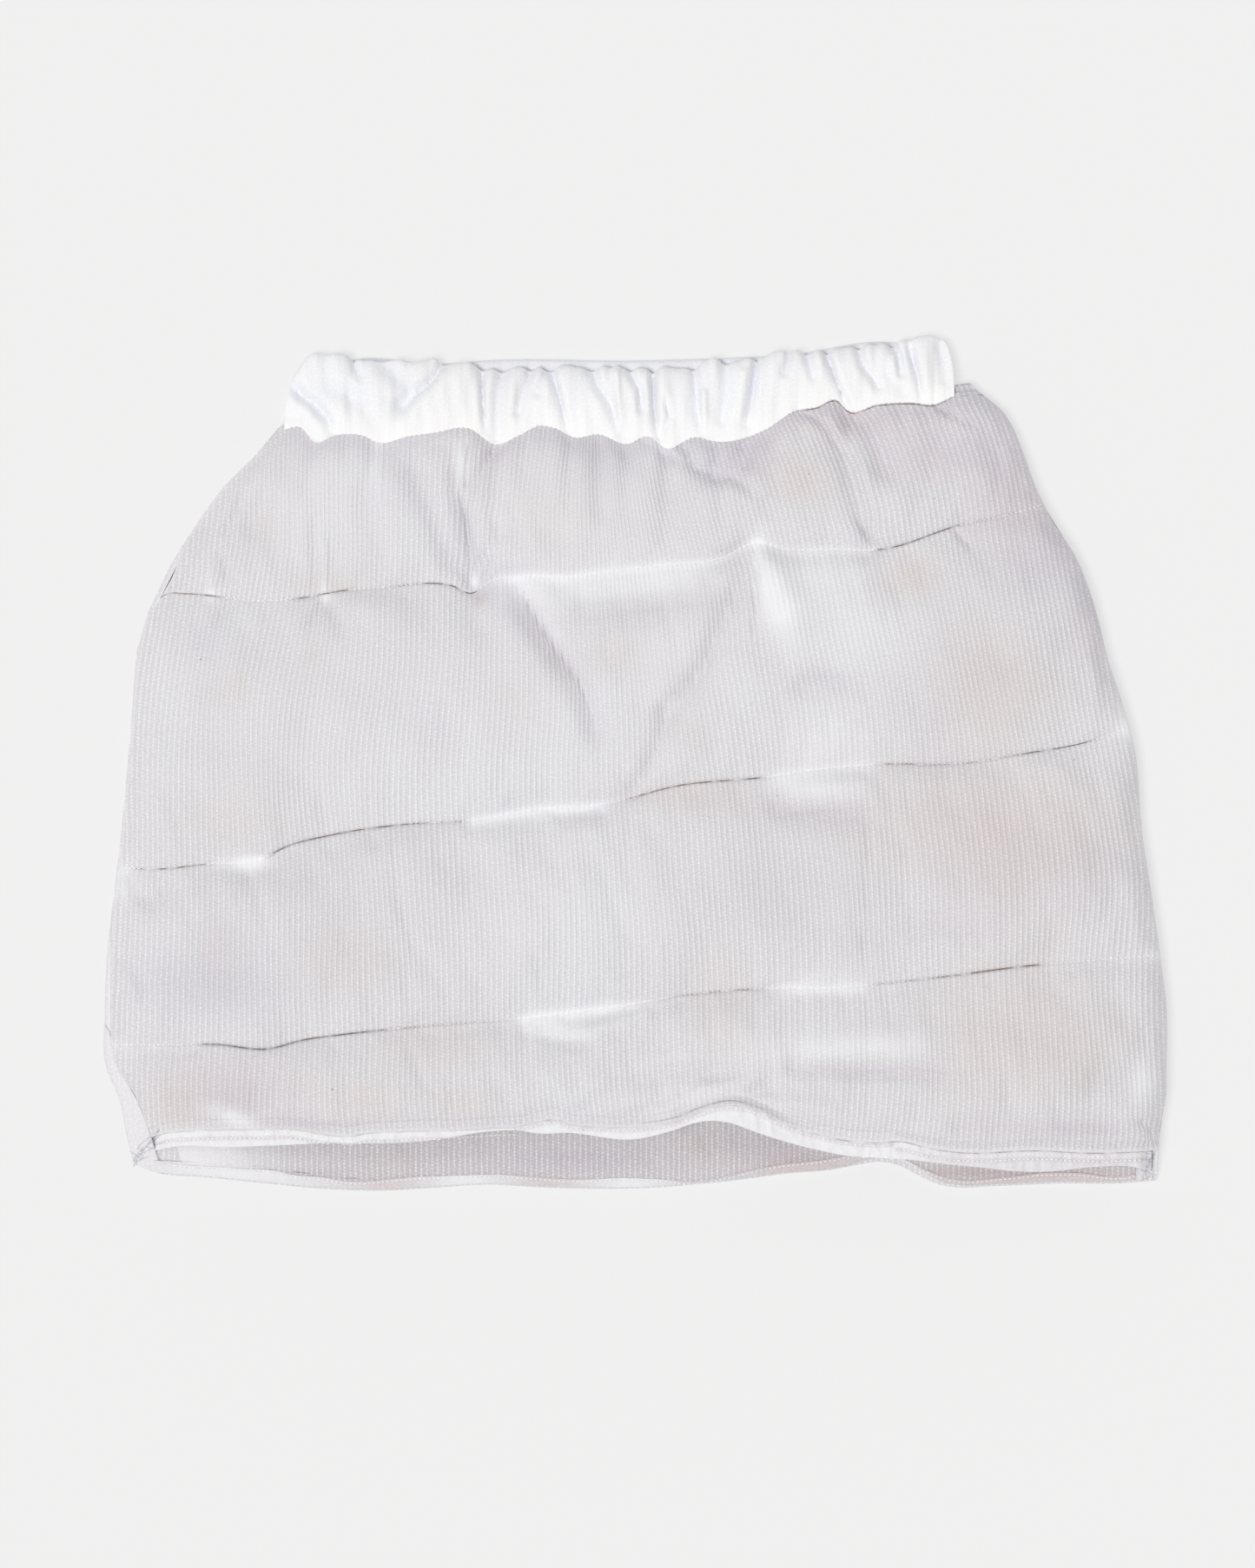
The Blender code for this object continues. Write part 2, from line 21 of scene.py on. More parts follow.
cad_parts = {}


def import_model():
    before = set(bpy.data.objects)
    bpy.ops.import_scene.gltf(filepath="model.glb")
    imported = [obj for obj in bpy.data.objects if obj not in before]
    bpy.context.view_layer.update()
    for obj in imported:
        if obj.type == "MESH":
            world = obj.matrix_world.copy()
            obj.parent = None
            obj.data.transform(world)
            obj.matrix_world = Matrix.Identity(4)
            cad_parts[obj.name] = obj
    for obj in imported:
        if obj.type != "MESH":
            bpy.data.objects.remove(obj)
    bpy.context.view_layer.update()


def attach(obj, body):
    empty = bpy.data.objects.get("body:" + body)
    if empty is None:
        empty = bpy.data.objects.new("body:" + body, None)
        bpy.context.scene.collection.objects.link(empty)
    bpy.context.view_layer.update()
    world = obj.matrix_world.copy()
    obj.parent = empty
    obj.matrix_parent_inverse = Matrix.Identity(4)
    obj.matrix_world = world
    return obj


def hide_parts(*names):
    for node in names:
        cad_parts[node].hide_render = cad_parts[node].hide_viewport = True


Array = np.ndarray
Points = tuple[tuple[float, float], ...]
Edge = Callable[[Array], Array]
Height = Callable[[Array, Array], Array]
Colour = tuple[float, float, float]
Piece = bpy.types.Object
Material = bpy.types.Material
Socket = bpy.types.NodeSocket

LOG = logging.getLogger("petticoat")
MM = 0.001
BODY = "root"
CLOTH_MAP = "cloth"
SETTLING_STEPS = 12
BARELY = 0.001


class Slot(Enum):
    """Material slots of the record."""

    SHELL = "shell"
    LINING = "lining"
    WAISTBAND = "waistband"


class Trace(Enum):
    """Marks that a piece carries on its points for its finish."""

    RIBS = "ribs"
    # FROM_ROW and CLOSED place the dark lines of rows, hems and the casing's edge: painted shadow, partly
    # dirt in the rows.
    FROM_ROW = "from_row"
    CLOSED = "closed"
    SOIL = "soil"
    WARMTH = "warmth"
    # SHADE is painted shade; LIGHT is painted light, in places whiter cloth.
    SHADE = "shade"
    LIGHT = "light"


FAR_FROM_ROW = 20.0
PLAIN_MARKS = {Trace.RIBS: 1.0, Trace.FROM_ROW: FAR_FROM_ROW}


def unit(value: Array) -> Array:
    """Keep values between 0 and 1."""
    return np.clip(value, 0.0, 1.0)


def smooth_step(value: Array) -> Array:
    """Rise from 0 to 1 with soft ends.

    Args:
        value: Places, where 0 is the start and 1 the end.

    Returns:
        The risen values.
    """
    value = unit(value)
    return value * value * (3 - 2 * value)


def bell(distance: Array, width: float | Array) -> Array:
    """Give a soft bump that is 1 at no distance and fades past its width."""
    return np.exp(-((distance / width) ** 2))


@dataclass(frozen=True)
class Line:
    """A line through measured points, level beyond its ends."""

    points: Points
    straight: bool = False

    def at(self, place: Array) -> Array:
        """Find the line's value over each place.

        Args:
            place: Places along the line.

        Returns:
            The line's values there.
        """
        places, values = np.array(self.points, dtype=float).T
        if self.straight:
            return np.interp(place, places, values)
        slopes = np.gradient(values, places)
        place = np.clip(place, places[0], places[-1])
        first = np.clip(np.searchsorted(places, place) - 1, 0, len(places) - 2)
        step = places[first + 1] - places[first]
        part = (place - places[first]) / step
        bend = part * part * (3 - 2 * part)
        leave = part * (1 - part) ** 2
        arrive = -part * part * (1 - part)
        level = values[first] + (values[first + 1] - values[first]) * bend
        return level + step * (slopes[first] * leave + slopes[first + 1] * arrive)

    def raised(self, by: float) -> Line:
        """Find the same line, moved up by a distance."""
        return Line(tuple((place, value + by) for place, value in self.points), self.straight)


@dataclass(frozen=True)
class Crease:
    """A crease along plan points: a soft trough, with a sharp cut along its middle.

    A ridge has a negative depth. A lip stands up on the left of the way along the points, and
    falls off sharply at the crease.
    """

    points: Points
    width: float
    depth: float
    cut: float = 0.0
    lip: float = 0.0
    lip_width: float = 4.0
    cut_width: float = 0.75

    def depth_at(self, x: Array, y: Array) -> Array:
        """Measure how far the crease lowers the cloth at each point.

        Args:
            x: Places across the skirt.
            y: Places along the skirt.

        Returns:
            Depth in millimetres, negative on a ridge or a lip.
        """
        away, side, along = np.full_like(x, 1e3), np.zeros_like(x), np.zeros_like(x)
        for number, (start, end) in enumerate(zip(self.points, self.points[1:])):
            run = np.subtract(end, start)
            length = float(np.hypot(*run))
            from_x, from_y = x - start[0], y - start[1]
            part = (from_x * run[0] + from_y * run[1]) / length**2
            near = unit(part)
            distance = np.hypot(from_x - near * run[0], from_y - near * run[1])
            closer = distance < away
            away = np.where(closer, distance, away)
            side = np.where(closer, (run[0] * from_y - run[1] * from_x) / length, side)
            along = np.where(closer, number + near, along)
        count = len(self.points) - 1
        held = smooth_step(along / count * 4) * smooth_step((1 - along / count) * 4)
        depth = self.depth * bell(away, self.width)
        depth = depth + self.cut * np.exp(-away / self.cut_width) * held
        if self.lip:
            lip = np.exp(-np.maximum(side, 0.0) / self.lip_width) * smooth_step(0.5 + side / 1.2)
            near_line = bell(np.maximum(away - np.abs(side), 0.0), 2.0) * (side > -2.0)
            depth = depth - self.lip * lip * held * near_line
        return depth


@dataclass(frozen=True)
class Gather:
    """A gather below the waist: where it crosses the seam, and how deep and long it is."""

    seam: float
    depth: float
    length: float


@dataclass(frozen=True)
class Patch:
    """A soft oval patch on the cloth: a tint, a stain, painted shade or painted light."""

    x: float
    y: float
    half_x: float
    half_y: float
    strength: float
    turn: float = 0.0

    def at(self, x: Array, y: Array) -> Array:
        """Measure how strongly the patch marks each point.

        Args:
            x: Places across the skirt.
            y: Places along the skirt.

        Returns:
            The strengths there.
        """
        cosine, sine = math.cos(math.radians(self.turn)), math.sin(math.radians(self.turn))
        along = (x - self.x) * cosine + (y - self.y) * sine
        across = (y - self.y) * cosine - (x - self.x) * sine
        return self.strength * np.exp(-((along / self.half_x) ** 2) - (across / self.half_y) ** 2)


def creases(*rows: tuple) -> tuple[Crease, ...]:
    """Make creases, each from its points, width, depth, cut, lip and lip width."""
    return tuple(Crease(*row) for row in rows)


def creased(several: tuple[Crease, ...], x: Array, y: Array) -> Array:
    """Add up the depths of several creases."""
    return sum((crease.depth_at(x, y) for crease in several), np.zeros_like(x))


def patches(*rows: tuple[float, ...]) -> tuple[Patch, ...]:
    """Make patches, each from its middle, half sizes, strength and turn."""
    return tuple(Patch(*row) for row in rows)


def patched(several: tuple[Patch, ...], x: Array, y: Array) -> Array:
    """Add up the marks of several patches."""
    return sum((patch.at(x, y) for patch in several), np.zeros_like(x))


def line(*points: tuple[float, float]) -> Line:
    """Make a smooth line."""
    return Line(points)


def steps(*points: tuple[float, float]) -> Line:
    """Make a line of straight steps."""
    return Line(points, straight=True)


OUTLINE = (
    (-213, -247, 258), (-200, -249, 259), (-181, -253, 260), (-163, -257, 263), (-155, -261, 263),
    (-120, -263, 263), (-95, -262, 260), (-60, -258, 255), (-34, -255, 251), (9, -251, 247),
    (34, -249, 240), (52, -248, 234), (69, -244, 230), (86, -237, 225), (103, -228, 218),
    (120, -217, 207), (138, -204, 198), (155, -187, 192), (167, -177, 187), (175, -172, 182),
    (186, -168, 169), (196, -164, 160),
)

CREASES = creases(
    (((-86.1, 156), (-86.7, 144.4), (-86.4, 132)), 2.2, -1.5),
    (((-86, 142), (-85, 124), (-81.7, 104), (-80.4, 89)), 6.0, 3.2),
    (((-86.7, 136), (-83.5, 119.1), (-81.7, 104), (-80.4, 90)), 1.5, 0.8, 1.8),
    (((-73.5, 101.5), (-79.8, 90.8)), 3.0, 1.4, 0.7), (((-68, 117), (-74.7, 97.7)), 4.0, 1.3),
    (((-81, 136.8), (-73.5, 150.7), (-67.2, 158.2)), 3.0, 1.6, 0.4),
    (((-108.8, 146), (-96.2, 114), (-89.9, 99)), 6.5, 2.2), (((-154, 110), (-154, 84)), 2.4, -1.2),
    (((-158.5, 118), (-158.5, 86)), 3.0, 1.0), (((-127.4, 162), (-128, 132)), 2.6, -1.3),
    (((-132, 133), (-128, 98)), 8.0, 1.6), (((-17, 160), (-17, 124)), 5.0, 1.4),
    (((3.7, 161.3), (14.7, 154.5), (28.4, 147.6), (40, 143)), 3.2, 2.0, 0.7),
    (((11.5, 162), (24, 150)), 2.2, -1.6), (((17.4, 164), (28.4, 151.7)), 3.0, 1.2, 0.4),
    (((57, 166), (56, 151), (47, 145), (36, 144)), 6.5, 2.6),
    (((40, 143), (50, 141), (58, 134)), 3.0, 1.4, 0.8),
    (((79, 176.5), (86, 172.4), (93, 168), (99, 160)), 2.6, 1.3, 1.1, 1.0, 6.0),
    (((99, 160), (104, 147.6), (108, 135), (113.7, 118.7), (118.2, 107.5)), 6.0, 2.6),
    (((110, 121), (114.5, 113), (119, 105.8)), 2.0, 0.9, 1.8, 1.0),
    (((113, 146), (117, 128), (119, 112)), 3.4, -1.0),
    (((97.2, 180.5), (105.5, 175.1), (110, 170)), 1.8, 0.6, 1.8, 0.8, 5.0),
    (((104, 176), (113.7, 166.8), (120.6, 156), (124, 146)), 7.0, 3.0),
    (((134, 182), (146.8, 179.2), (155, 173.7), (165.5, 169.4)), 2.2, 0.8, 2.2, 1.4, 5.0),
    (((151, 187), (165, 187)), 1.8, 0.8, 1.6),
    (((157.8, 116.5), (162, 111), (167, 106.5)), 2.4, 1.0, 0.8),
    (((172, 170), (190, 128)), 8.0, 1.4), (((-205, 103), (-203, 97), (-201.4, 90)), 3.0, 1.2, 0.8),
    (((-196.1, 137), (-197, 127.8), (-201.4, 118)), 2.6, 1.2, 0.7),
    (((-210, 94), (-209.5, 82)), 2.4, -1.2), (((-198.8, 80.7), (-206.5, 72.5)), 2.6, 1.3, 0.5),
    (((-153.5, 81), (-161, 69)), 3.0, 1.5, 0.5), (((-153, 81), (-144, 66)), 4.0, 1.2),
    (((-166, 162), (-178, 140), (-190, 118)), 6.0, 2.0), (((-212, 120), (-232, 90)), 8.0, 1.2),
    (((-60, 91), (-52.2, 74.5), (-39.3, 54.5), (-27.9, 38.7), (-19.3, 17.2)), 6.5, 3.4),
    (((-19.3, 19), (-27.9, 40), (-39.3, 56), (-52.2, 76), (-58, 90)), 2.0, 0.6, 0.5, 1.6, 7.0),
    (((-47, 92), (-30, 84), (0, 84), (34, 90)), 7.0, 1.3), (((-39, 53), (-13, 53)), 3.0, 1.0, 0.5),
    (((56.7, 98), (43.8, 73.1), (38.1, 57.3), (35.2, 48.7), (22.3, 31.6), (15.1, 25.8)),
     6.0, 2.2, 0.8, 1.0, 6.0),
    (((16, 26), (12.3, 11.5), (6.5, -2.8), (-0.6, -11.4)), 4.5, 1.7, 0.8, 0.8, 5.0),
    (((38, 56), (30, 42), (16, 26)), 4.5, 1.6), (((59.6, 109), (59, 90), (59, 68)), 2.2, 1.2, 0.7),
    (((61, 112), (66, 96), (74, 76), (79, 58)), 8.0, -1.3),
    (((82.8, 37.5), (96.6, 42.7), (112, 38.5)), 5.0, 1.5), (((72, 30), (84, 38)), 6.0, 1.0),
    (((70, -22), (90, -25), (113, -27)), 5.0, 1.8), (((68, -8), (92, -11), (112, -10)), 6.0, -1.2),
    (((-252, -54), (-248, -66), (-240, -68.5), (-234, -65)), 2.2, 1.6, 0.7),
    (((-262, -94), (-252, -100), (-246, -106), (-244, -114)), 3.0, 1.4, 0.5),
    (((-62, -17), (-40, -24), (-16, -25)), 2.6, 1.0, 0.5),
    (((-45, -33), (-30, -25), (-10, -17), (4, -14)), 2.4, 0.8, 0.6),
    (((-190, -56), (-178, -52), (-170, -44)), 3.6, 1.4),
    (((-55, -133), (-30, -138.5), (0, -130), (22, -118)), 2.4, 1.0, 0.6),
    (((-45, -126), (-20, -132), (5, -124)), 5.0, -1.4),
    (((66, -112), (90, -104), (116, -107)), 3.0, 0.9, 0.3),
    (((70, -115), (90, -109), (112, -111)), 4.0, -1.0),
    (((115, -86), (150, -78), (180, -82)), 6.0, 1.5), (((90, -140), (140, -137)), 8.0, -1.4),
    (((78, -150), (110, -150), (152, -153)), 4.0, 1.8, 0.3),
    (((58, -162), (76, -161), (96, -163)), 3.6, 1.4, 0.3),
    (((-37.9, -175), (-6.6, -157.6), (20.2, -150.8), (38, -150.8)), 5.0, 2.0),
    (((-6.6, -175), (20, -164), (33.6, -155.3), (51.5, -153)), 4.0, 1.8, 0.4),
    (((12, -172), (34, -160), (58, -156)), 3.6, -1.2),
    (((22.5, -172), (51.5, -163), (66, -160)), 3.6, 1.6),
    (((-30, -168), (0, -152), (24, -145)), 5.0, -1.2),
    (((247, -176), (254, -180), (257, -190)), 2.0, 1.2, 1.4, -0.8),
    (((160, -179), (200, -176), (235, -180)), 6.0, 1.6),
    (((-200, -172), (-178, -170), (-160, -176)), 5.0, 1.2),
)

BAND_CREASES = creases(
    (((-172.5, 190), (-166, 183), (-158, 177.2), (-152, 170), (-150.4, 160)), 3.4, 2.2, 1.0),
    (((-174, 172), (-165, 172), (-159, 162)), 4.0, 1.6),
    (((-140.6, 204), (-139, 198), (-137.8, 193)), 2.6, 1.2, 0.9),
    (((-148, 186), (-134, 178), (-128, 162)), 5.0, 1.2),
    (((-96, 198), (-99, 191.5), (-104, 187), (-115.1, 178.4)), 3.2, 1.8, 1.4, 0.8, 5.0),
    (((-122, 196), (-112, 186), (-116, 176)), 5.0, 1.6),
    (((-76, 196.5), (-75.6, 181), (-74.7, 165)), 2.6, 1.2, 2.2, 0.6),
    (((-66, 196), (-68, 184), (-69, 160)), 4.0, 1.6),
    (((-52, 196.5), (-58.3, 174.6)), 3.4, 1.6, 0.5), (((-44.6, 196.5), (-48, 184)), 2.8, 1.2, 0.3),
    (((-41.5, 196), (-36.9, 179.7), (-33.7, 165)), 2.6, 1.4, 2.0, 0.6),
    (((-21.6, 196), (-18.5, 187), (-12, 178), (-6.5, 162)), 3.2, 1.6, 0.6),
    (((-9.1, 193.6), (-8.5, 180), (-7.6, 166)), 1.8, -1.2),
    (((-3, 196), (2.2, 184.7), (3, 176)), 2.6, 1.4, 0.8),
    (((8.4, 196), (9.2, 177.2), (11.2, 160)), 2.4, 1.4, 2.4, 0.8),
    (((15, 180), (17, 172), (13, 162)), 2.2, 1.0, 1.0),
    (((29.1, 196), (30.5, 175.1), (34, 164)), 3.2, 1.8, 0.5), (((33.6, 184), (34, 166)), 1.8, -1.2),
    (((61, 203), (60, 196), (58, 182), (55.5, 168)), 2.6, 1.2, 1.6, 0.7),
    (((53, 194), (52, 174)), 2.6, -1.0), (((44, 198), (45, 182), (43, 170)), 3.0, 1.2),
    (((76, 205), (74, 194)), 2.4, 1.2, 0.6),
    (((94, 206), (98.6, 193), (102.7, 182), (105.5, 176)), 2.6, 1.4, 2.6, 0.9),
    (((84, 205), (88, 192)), 2.6, 1.0, 0.5),
    (((110.6, 207), (112.4, 198.5), (120.6, 187)), 3.0, 1.6, 0.5),
    (((126.1, 211), (130.3, 203.3), (131.6, 194)), 2.4, 1.8, 1.2),
    (((124, 194), (132, 184)), 4.0, 1.2),
    (((136, 206), (139.9, 191.6), (141.5, 180)), 2.4, 1.2, 1.8, 0.6),
    (((151, 208), (153, 190)), 3.0, 1.4),
)

GATHERS = tuple(Gather(*row) for row in (
    (-159, 2.0, 60), (-142, 1.0, 40), (-127, 1.5, 45), (-108, 1.0, 30), (-85, 1.0, 30),
    (-69, 2.0, 55), (-54, 1.2, 40), (-44, 1.0, 35), (-32, 1.4, 45), (-18, 1.8, 60), (-5, 2.0, 50),
    (5, 1.0, 30), (14.5, 2.2, 60), (27, 1.0, 35), (40, 1.5, 50), (52, 1.0, 40), (65, 1.8, 50),
    (81, 1.0, 30), (91, 1.2, 40), (104, 1.5, 50), (117, 1.2, 40), (130, 1.2, 35), (142, 1.0, 30),
    (152, 0.8, 25),
))


@dataclass(frozen=True)
class Row:
    """A row of stitching: its line, and how far its valley stands open, from 0, closed, to 1."""

    path: Line
    openness: Line


@dataclass(frozen=True)
class SkirtPlan:
    """The lines of the skirt as it lies, seen from above, and the heights of what lies under the front."""

    left: Line = Line(tuple((y, left) for y, left, _ in OUTLINE))
    right: Line = Line(tuple((y, right) for y, _, right in OUTLINE))
    waist: Line = line(
        (-177.8, 166.8), (-172.6, 167.7), (-166.2, 168.6), (-158.9, 161.2), (-149, 164.3),
        (-133.9, 163.8), (-127.5, 160.8), (-112.4, 163.8), (-99.5, 165.6), (-82.3, 167.7),
        (-69.4, 160), (-56.5, 164.7), (-47.9, 169), (-39.3, 167.7), (-30.7, 163.4),
        (-17.8, 164.7), (-4.9, 160), (8, 163.4), (14.4, 158.2), (29.5, 163.4), (40.2, 161.2),
        (63.9, 166.8), (78.9, 176.3), (89.7, 178.4), (100.4, 181.5), (104.7, 177.2),
        (119.8, 179.7), (137, 180.6), (147.7, 179.7), (158.5, 184), (170.5, 185.3),
    )
    rows: tuple[Row, ...] = (
        Row(
            line(
                (-241.4, 75.2), (-235, 82.6), (-222.1, 84.3), (-211.3, 83.4), (-189.8, 80.8),
                (-168.3, 81.7), (-142.5, 86), (-125.3, 87.3), (-90.9, 88.2), (-80.2, 84.7),
                (-73.7, 89.4), (-56.5, 93.3), (-35, 92.5), (-13.5, 95.5), (16.6, 98.9),
                (42.4, 101.9), (59.6, 109.6), (72.5, 106.6), (98.3, 106.2), (121.9, 106.2),
                (160.6, 118.2), (184.3, 123.4), (199.3, 127.7),
            ),
            steps(
                (-241.4, 0.3), (-235, 0), (-211.3, 0), (-201.9, 0.45), (-172.6, 0.45),
                (-166.2, 0.05), (-142.5, 0.05), (-136.1, 0.5), (-125.3, 0.5), (-112.4, 0.2),
                (-103.8, 0.1), (-80.2, 0), (-75.5, 0.6), (-67.3, 0.9), (-47.9, 1), (42.4, 0.9),
                (59.6, 0.8), (115.5, 0.9), (120.6, 0), (158.5, 0), (163.6, 0.35), (199.3, 0.4),
            ),
        ),
        Row(
            line(
                (-252.2, -51.6), (-237.1, -52), (-211.3, -49.4), (-185.5, -47.3),
                (-172.6, -40.9), (-151.1, -35.3), (-116.7, -30.1), (-82.3, -27.9),
                (-47.9, -22.4), (-13.5, -19.4), (20.9, -10.8), (63.9, -6.5), (94, -2.1),
                (124.1, 0), (158.5, 0), (192.9, 5.2), (223, 10.8), (244.5, 18.1),
            ),
            steps(
                (-252.2, 0.7), (-245.7, 0.2), (-235, 0.05), (-213.5, 0.1), (-207, 0.7),
                (-185.5, 0.9), (-180.4, 0.1), (-172.6, 0), (-116.7, 0), (-110.3, 0.15),
                (-86.6, 0.2), (-80.2, 0.9), (-56.5, 1), (-17.8, 0.9), (-4.9, 0.3), (3.7, 0.05),
                (59.6, 0.05), (68.2, 0.7), (115.5, 0.7), (124.1, 0.15), (158.5, 0.3),
                (180, 0.35), (192.9, 0.1), (223, 0.1), (233.7, 0.5), (244.5, 0.6),
            ),
        ),
        Row(
            line(
                (-257.4, -138.9), (-228.5, -138.9), (-207, -138.5), (-181.2, -140.6),
                (-164, -136.3), (-142.5, -133.3), (-99.5, -129), (-56.5, -125.6),
                (-13.5, -120.4), (25.2, -114), (63.9, -110.9), (94, -110.5), (149.9, -105.3),
                (192.9, -99.8), (214.4, -98), (257.4, -94.6),
            ),
            steps(
                (-257.4, 0.6), (-217.8, 0.5), (-211.3, 0), (-129.6, 0), (-121, 0.3),
                (-60.8, 0.5), (-54.4, 0.95), (-13.5, 1), (12.3, 0.6), (25.2, 0.3), (55.3, 0.2),
                (63.9, 0.5), (72.5, 0.9), (111.2, 0.8), (119.8, 0.35), (149.9, 0.25),
                (158.5, 0), (197.2, 0), (205.8, 0.5), (257.4, 0.6),
            ),
        ),
    )
    front_hem: Line = line(
        (-241, -185.5), (-233.1, -182.8), (-217.7, -181.3), (-184.6, -180.5), (-169.2, -180.3),
        (-158.8, -182), (-148.5, -183.4), (-140.3, -183.9), (-134, -182.3), (-122.7, -181.8),
        (-105, -180.9), (-92.3, -180.9), (-68.6, -179.5), (-56.7, -178.9), (-46.2, -176.2),
        (-38.3, -175.2), (-33, -177.6), (-19.8, -178.9), (6.6, -178.6), (19.7, -176.2),
        (32.9, -171), (43.5, -168.1), (51.4, -168.3), (61.9, -171.6), (74, -177.6),
        (90.8, -182.7), (102.9, -185.4), (120.5, -186.7), (131.2, -186.1), (144.7, -189.4),
        (158.2, -191.4), (198.6, -190.8), (225.6, -192.1), (258, -191.4),
    )
    back_hem: Line = line(
        (-247.6, -199.3), (-237.3, -203), (-215.6, -205), (-184.6, -208.1), (-164, -210.2),
        (-143.4, -211.5), (-124.8, -211.9), (-105.5, -210.8), (-72.6, -208.9), (-46.2, -210.3),
        (-22.4, -210.9), (6.6, -210.5), (25, -209.2), (32.9, -208.5), (46.1, -207.2),
        (59.3, -205.5), (75, -203.4), (97.5, -201.5), (111, -198.9), (120.5, -197.5),
        (131.2, -199.5), (139.3, -203.6), (151.4, -209), (156.8, -210), (178.4, -209.6),
        (212.1, -208.3), (239, -208.3), (258, -206.9),
    )
    lining_edge: Line = line(
        (-239, -192), (-231.1, -190.1), (-222.8, -189), (-210.4, -189.5), (-179.5, -188.7),
        (-153.7, -187.5), (-136.1, -187.5), (-112.1, -186.9), (-92.3, -184.8), (-81.8, -182.8),
        (-68.6, -181.2), (-59.4, -181), (-46.2, -182.6), (-33, -182.2), (-13.2, -184.8),
        (-6.6, -185.5), (6.6, -184.2), (18.4, -180.9), (30.3, -176.9), (36.9, -176),
        (46.1, -176.9), (59.3, -181.5), (74, -186.4), (90.8, -190.8), (104.3, -193.5),
        (120.5, -194.6), (138, -195.8), (151.4, -197.5), (171.7, -199.5), (185.1, -201.1),
        (205.3, -201.5), (225.6, -199.5), (245.8, -199.5), (252.5, -200.9),
    )
    back_stitch: Line = line(
        (-236, -197), (-224.9, -198.8), (-209.4, -199.9), (-195, -200.9), (-178.4, -201.9),
        (-169.2, -204), (-155.7, -205), (-143.4, -207.1), (-133, -207.1), (-122.7, -206.1),
        (-112, -205.1), (-85.7, -204.3), (-66, -203.9), (-46.2, -205.3), (-27.7, -206.3),
        (-6.6, -205.5), (6.6, -205.9), (17.1, -206.6), (25, -207.4), (32.9, -207.1),
        (46.1, -204.6), (59.3, -201.3), (73, -198.7), (90.8, -196.8), (120.5, -193.2),
        (132, -195.5), (142, -200.5), (155.5, -205.6), (185.1, -204.9), (202.7, -202.9),
        (218.8, -202.9), (239, -204.9), (252, -203),
    )
    strip: Line = steps(
        (-213, 14), (-200, 13.5), (-181.5, 12), (-169, 9.5), (-154, 6.5), (-141, 3.9),
        (-127, 3.4), (-90, 2.2), (-73, 0.8), (74, 0.8), (82, 3.4), (92, 4.4), (100, 3.2),
        (110, 0.8), (196, 0.8),
    )
    strip_shown: float = 2.0
    back_hem_taper: Line = steps((0, 3.2), (5, 7), (14, 9.5))
    shell_hem_width: float = 5.0
    tongue_width: float = 4.0
    back_wall: float = 9.5
    back_waist_wall: float = 6.0
    hollow_at_rows: tuple[float, ...] = (0.6, 2.0, 5.0, 10.0, 16.0)
    hollow_roundness: float = 4.0
    wave_x: float = 47.0
    wave_width: float = 36.0
    wave_length: float = 1.8
    wave_lift: float = 8.0
    seam_gap: float = 0.3
    side_gap: float = 0.4
    lining_wall: float = 1.0
    lining_rest: float = 0.5
    seam_fold: float = 12.0
    half_width: float = 250.0

    def hem_stitch(self, x: Array) -> Array:
        """Find the stitch line of the front hem, where the last channel ends."""
        return self.front_hem.at(x) + self.shell_hem_width

    def lines(self, x: Array) -> list[Array]:
        """Find the waist line, the rows and the hem stitch line over each x."""
        return [self.waist.at(x), *(row.path.at(x) for row in self.rows), self.hem_stitch(x)]

    def channel_at(self, x: Array, y: Array) -> Array:
        """Find the channel position of each point.

        Args:
            x: Places across the skirt.
            y: Places along the skirt.

        Returns:
            -1 at the tip of the tongue, 0 on the waist line, 1 to 3 on the rows, 4 on the hem
            stitching and 5 on the hem's edge.
        """
        lines = self.lines(x)
        position = np.clip((lines[0] - y) / self.tongue_width, -1.0, 0.0)
        for upper, lower in zip(lines, lines[1:]):
            position = position + unit((upper - y) / (upper - lower))
        return position + unit((lines[-1] - y) / self.shell_hem_width)

    def front_y(self, x: Array, position: Array) -> Array:
        """Find the y of a channel position over each x.

        Args:
            x: Places across the skirt.
            position: Channel positions.

        Returns:
            The y over each x.
        """
        lines = np.array(self.lines(x))
        first = np.clip(np.floor(position).astype(int), 0, 3)
        part = np.clip(position, 0.0, 4.0) - first
        upper = np.take_along_axis(lines, first[None], axis=0)[0]
        lower = np.take_along_axis(lines, first[None] + 1, axis=0)[0]
        tongue = unit(-position) * self.tongue_width
        turned = unit(position - 4.0) * self.shell_hem_width
        return upper + (lower - upper) * part + tongue - turned

    def seam_x(self, y: Array) -> Array:
        """Find the left side seam, where the back folds round onto the front."""
        return self.left.at(y) + self.strip.at(y)

    def spread(self, across: Array, position: Array, start: float) -> Array:
        """Spread points between the side seams.

        Args:
            across: Their places, -1 on the left seam and 1 on the right one.
            position: Their channel positions.
            start: Half width of the skirt that the search starts from.

        Returns:
            Their x.
        """
        x = start * across
        for _ in range(SETTLING_STEPS):
            y = self.front_y(x, position)
            left, right = self.seam_x(y), self.right.at(y)
            x = (left + right) / 2 + across * (right - left) / 2
        return x

    def front_side(self, x: Array, y: Array) -> Array:
        """Measure how far a point of the front lies from its middle, -1 and 1 on its seams.

        Args:
            x: Places across the skirt.
            y: Places along the skirt.

        Returns:
            The places, from -1 to 1.
        """
        left = self.seam_x(y)
        right = self.right.at(y)
        return np.clip((2 * x - left - right) / (right - left), -1.0, 1.0)

    def from_side(self, x: Array, y: Array) -> Array:
        """Measure the distance of a point of the front from its nearer side seam."""
        left = self.seam_x(y)
        return np.maximum(np.minimum(x - left, self.right.at(y) - x), 0.0)

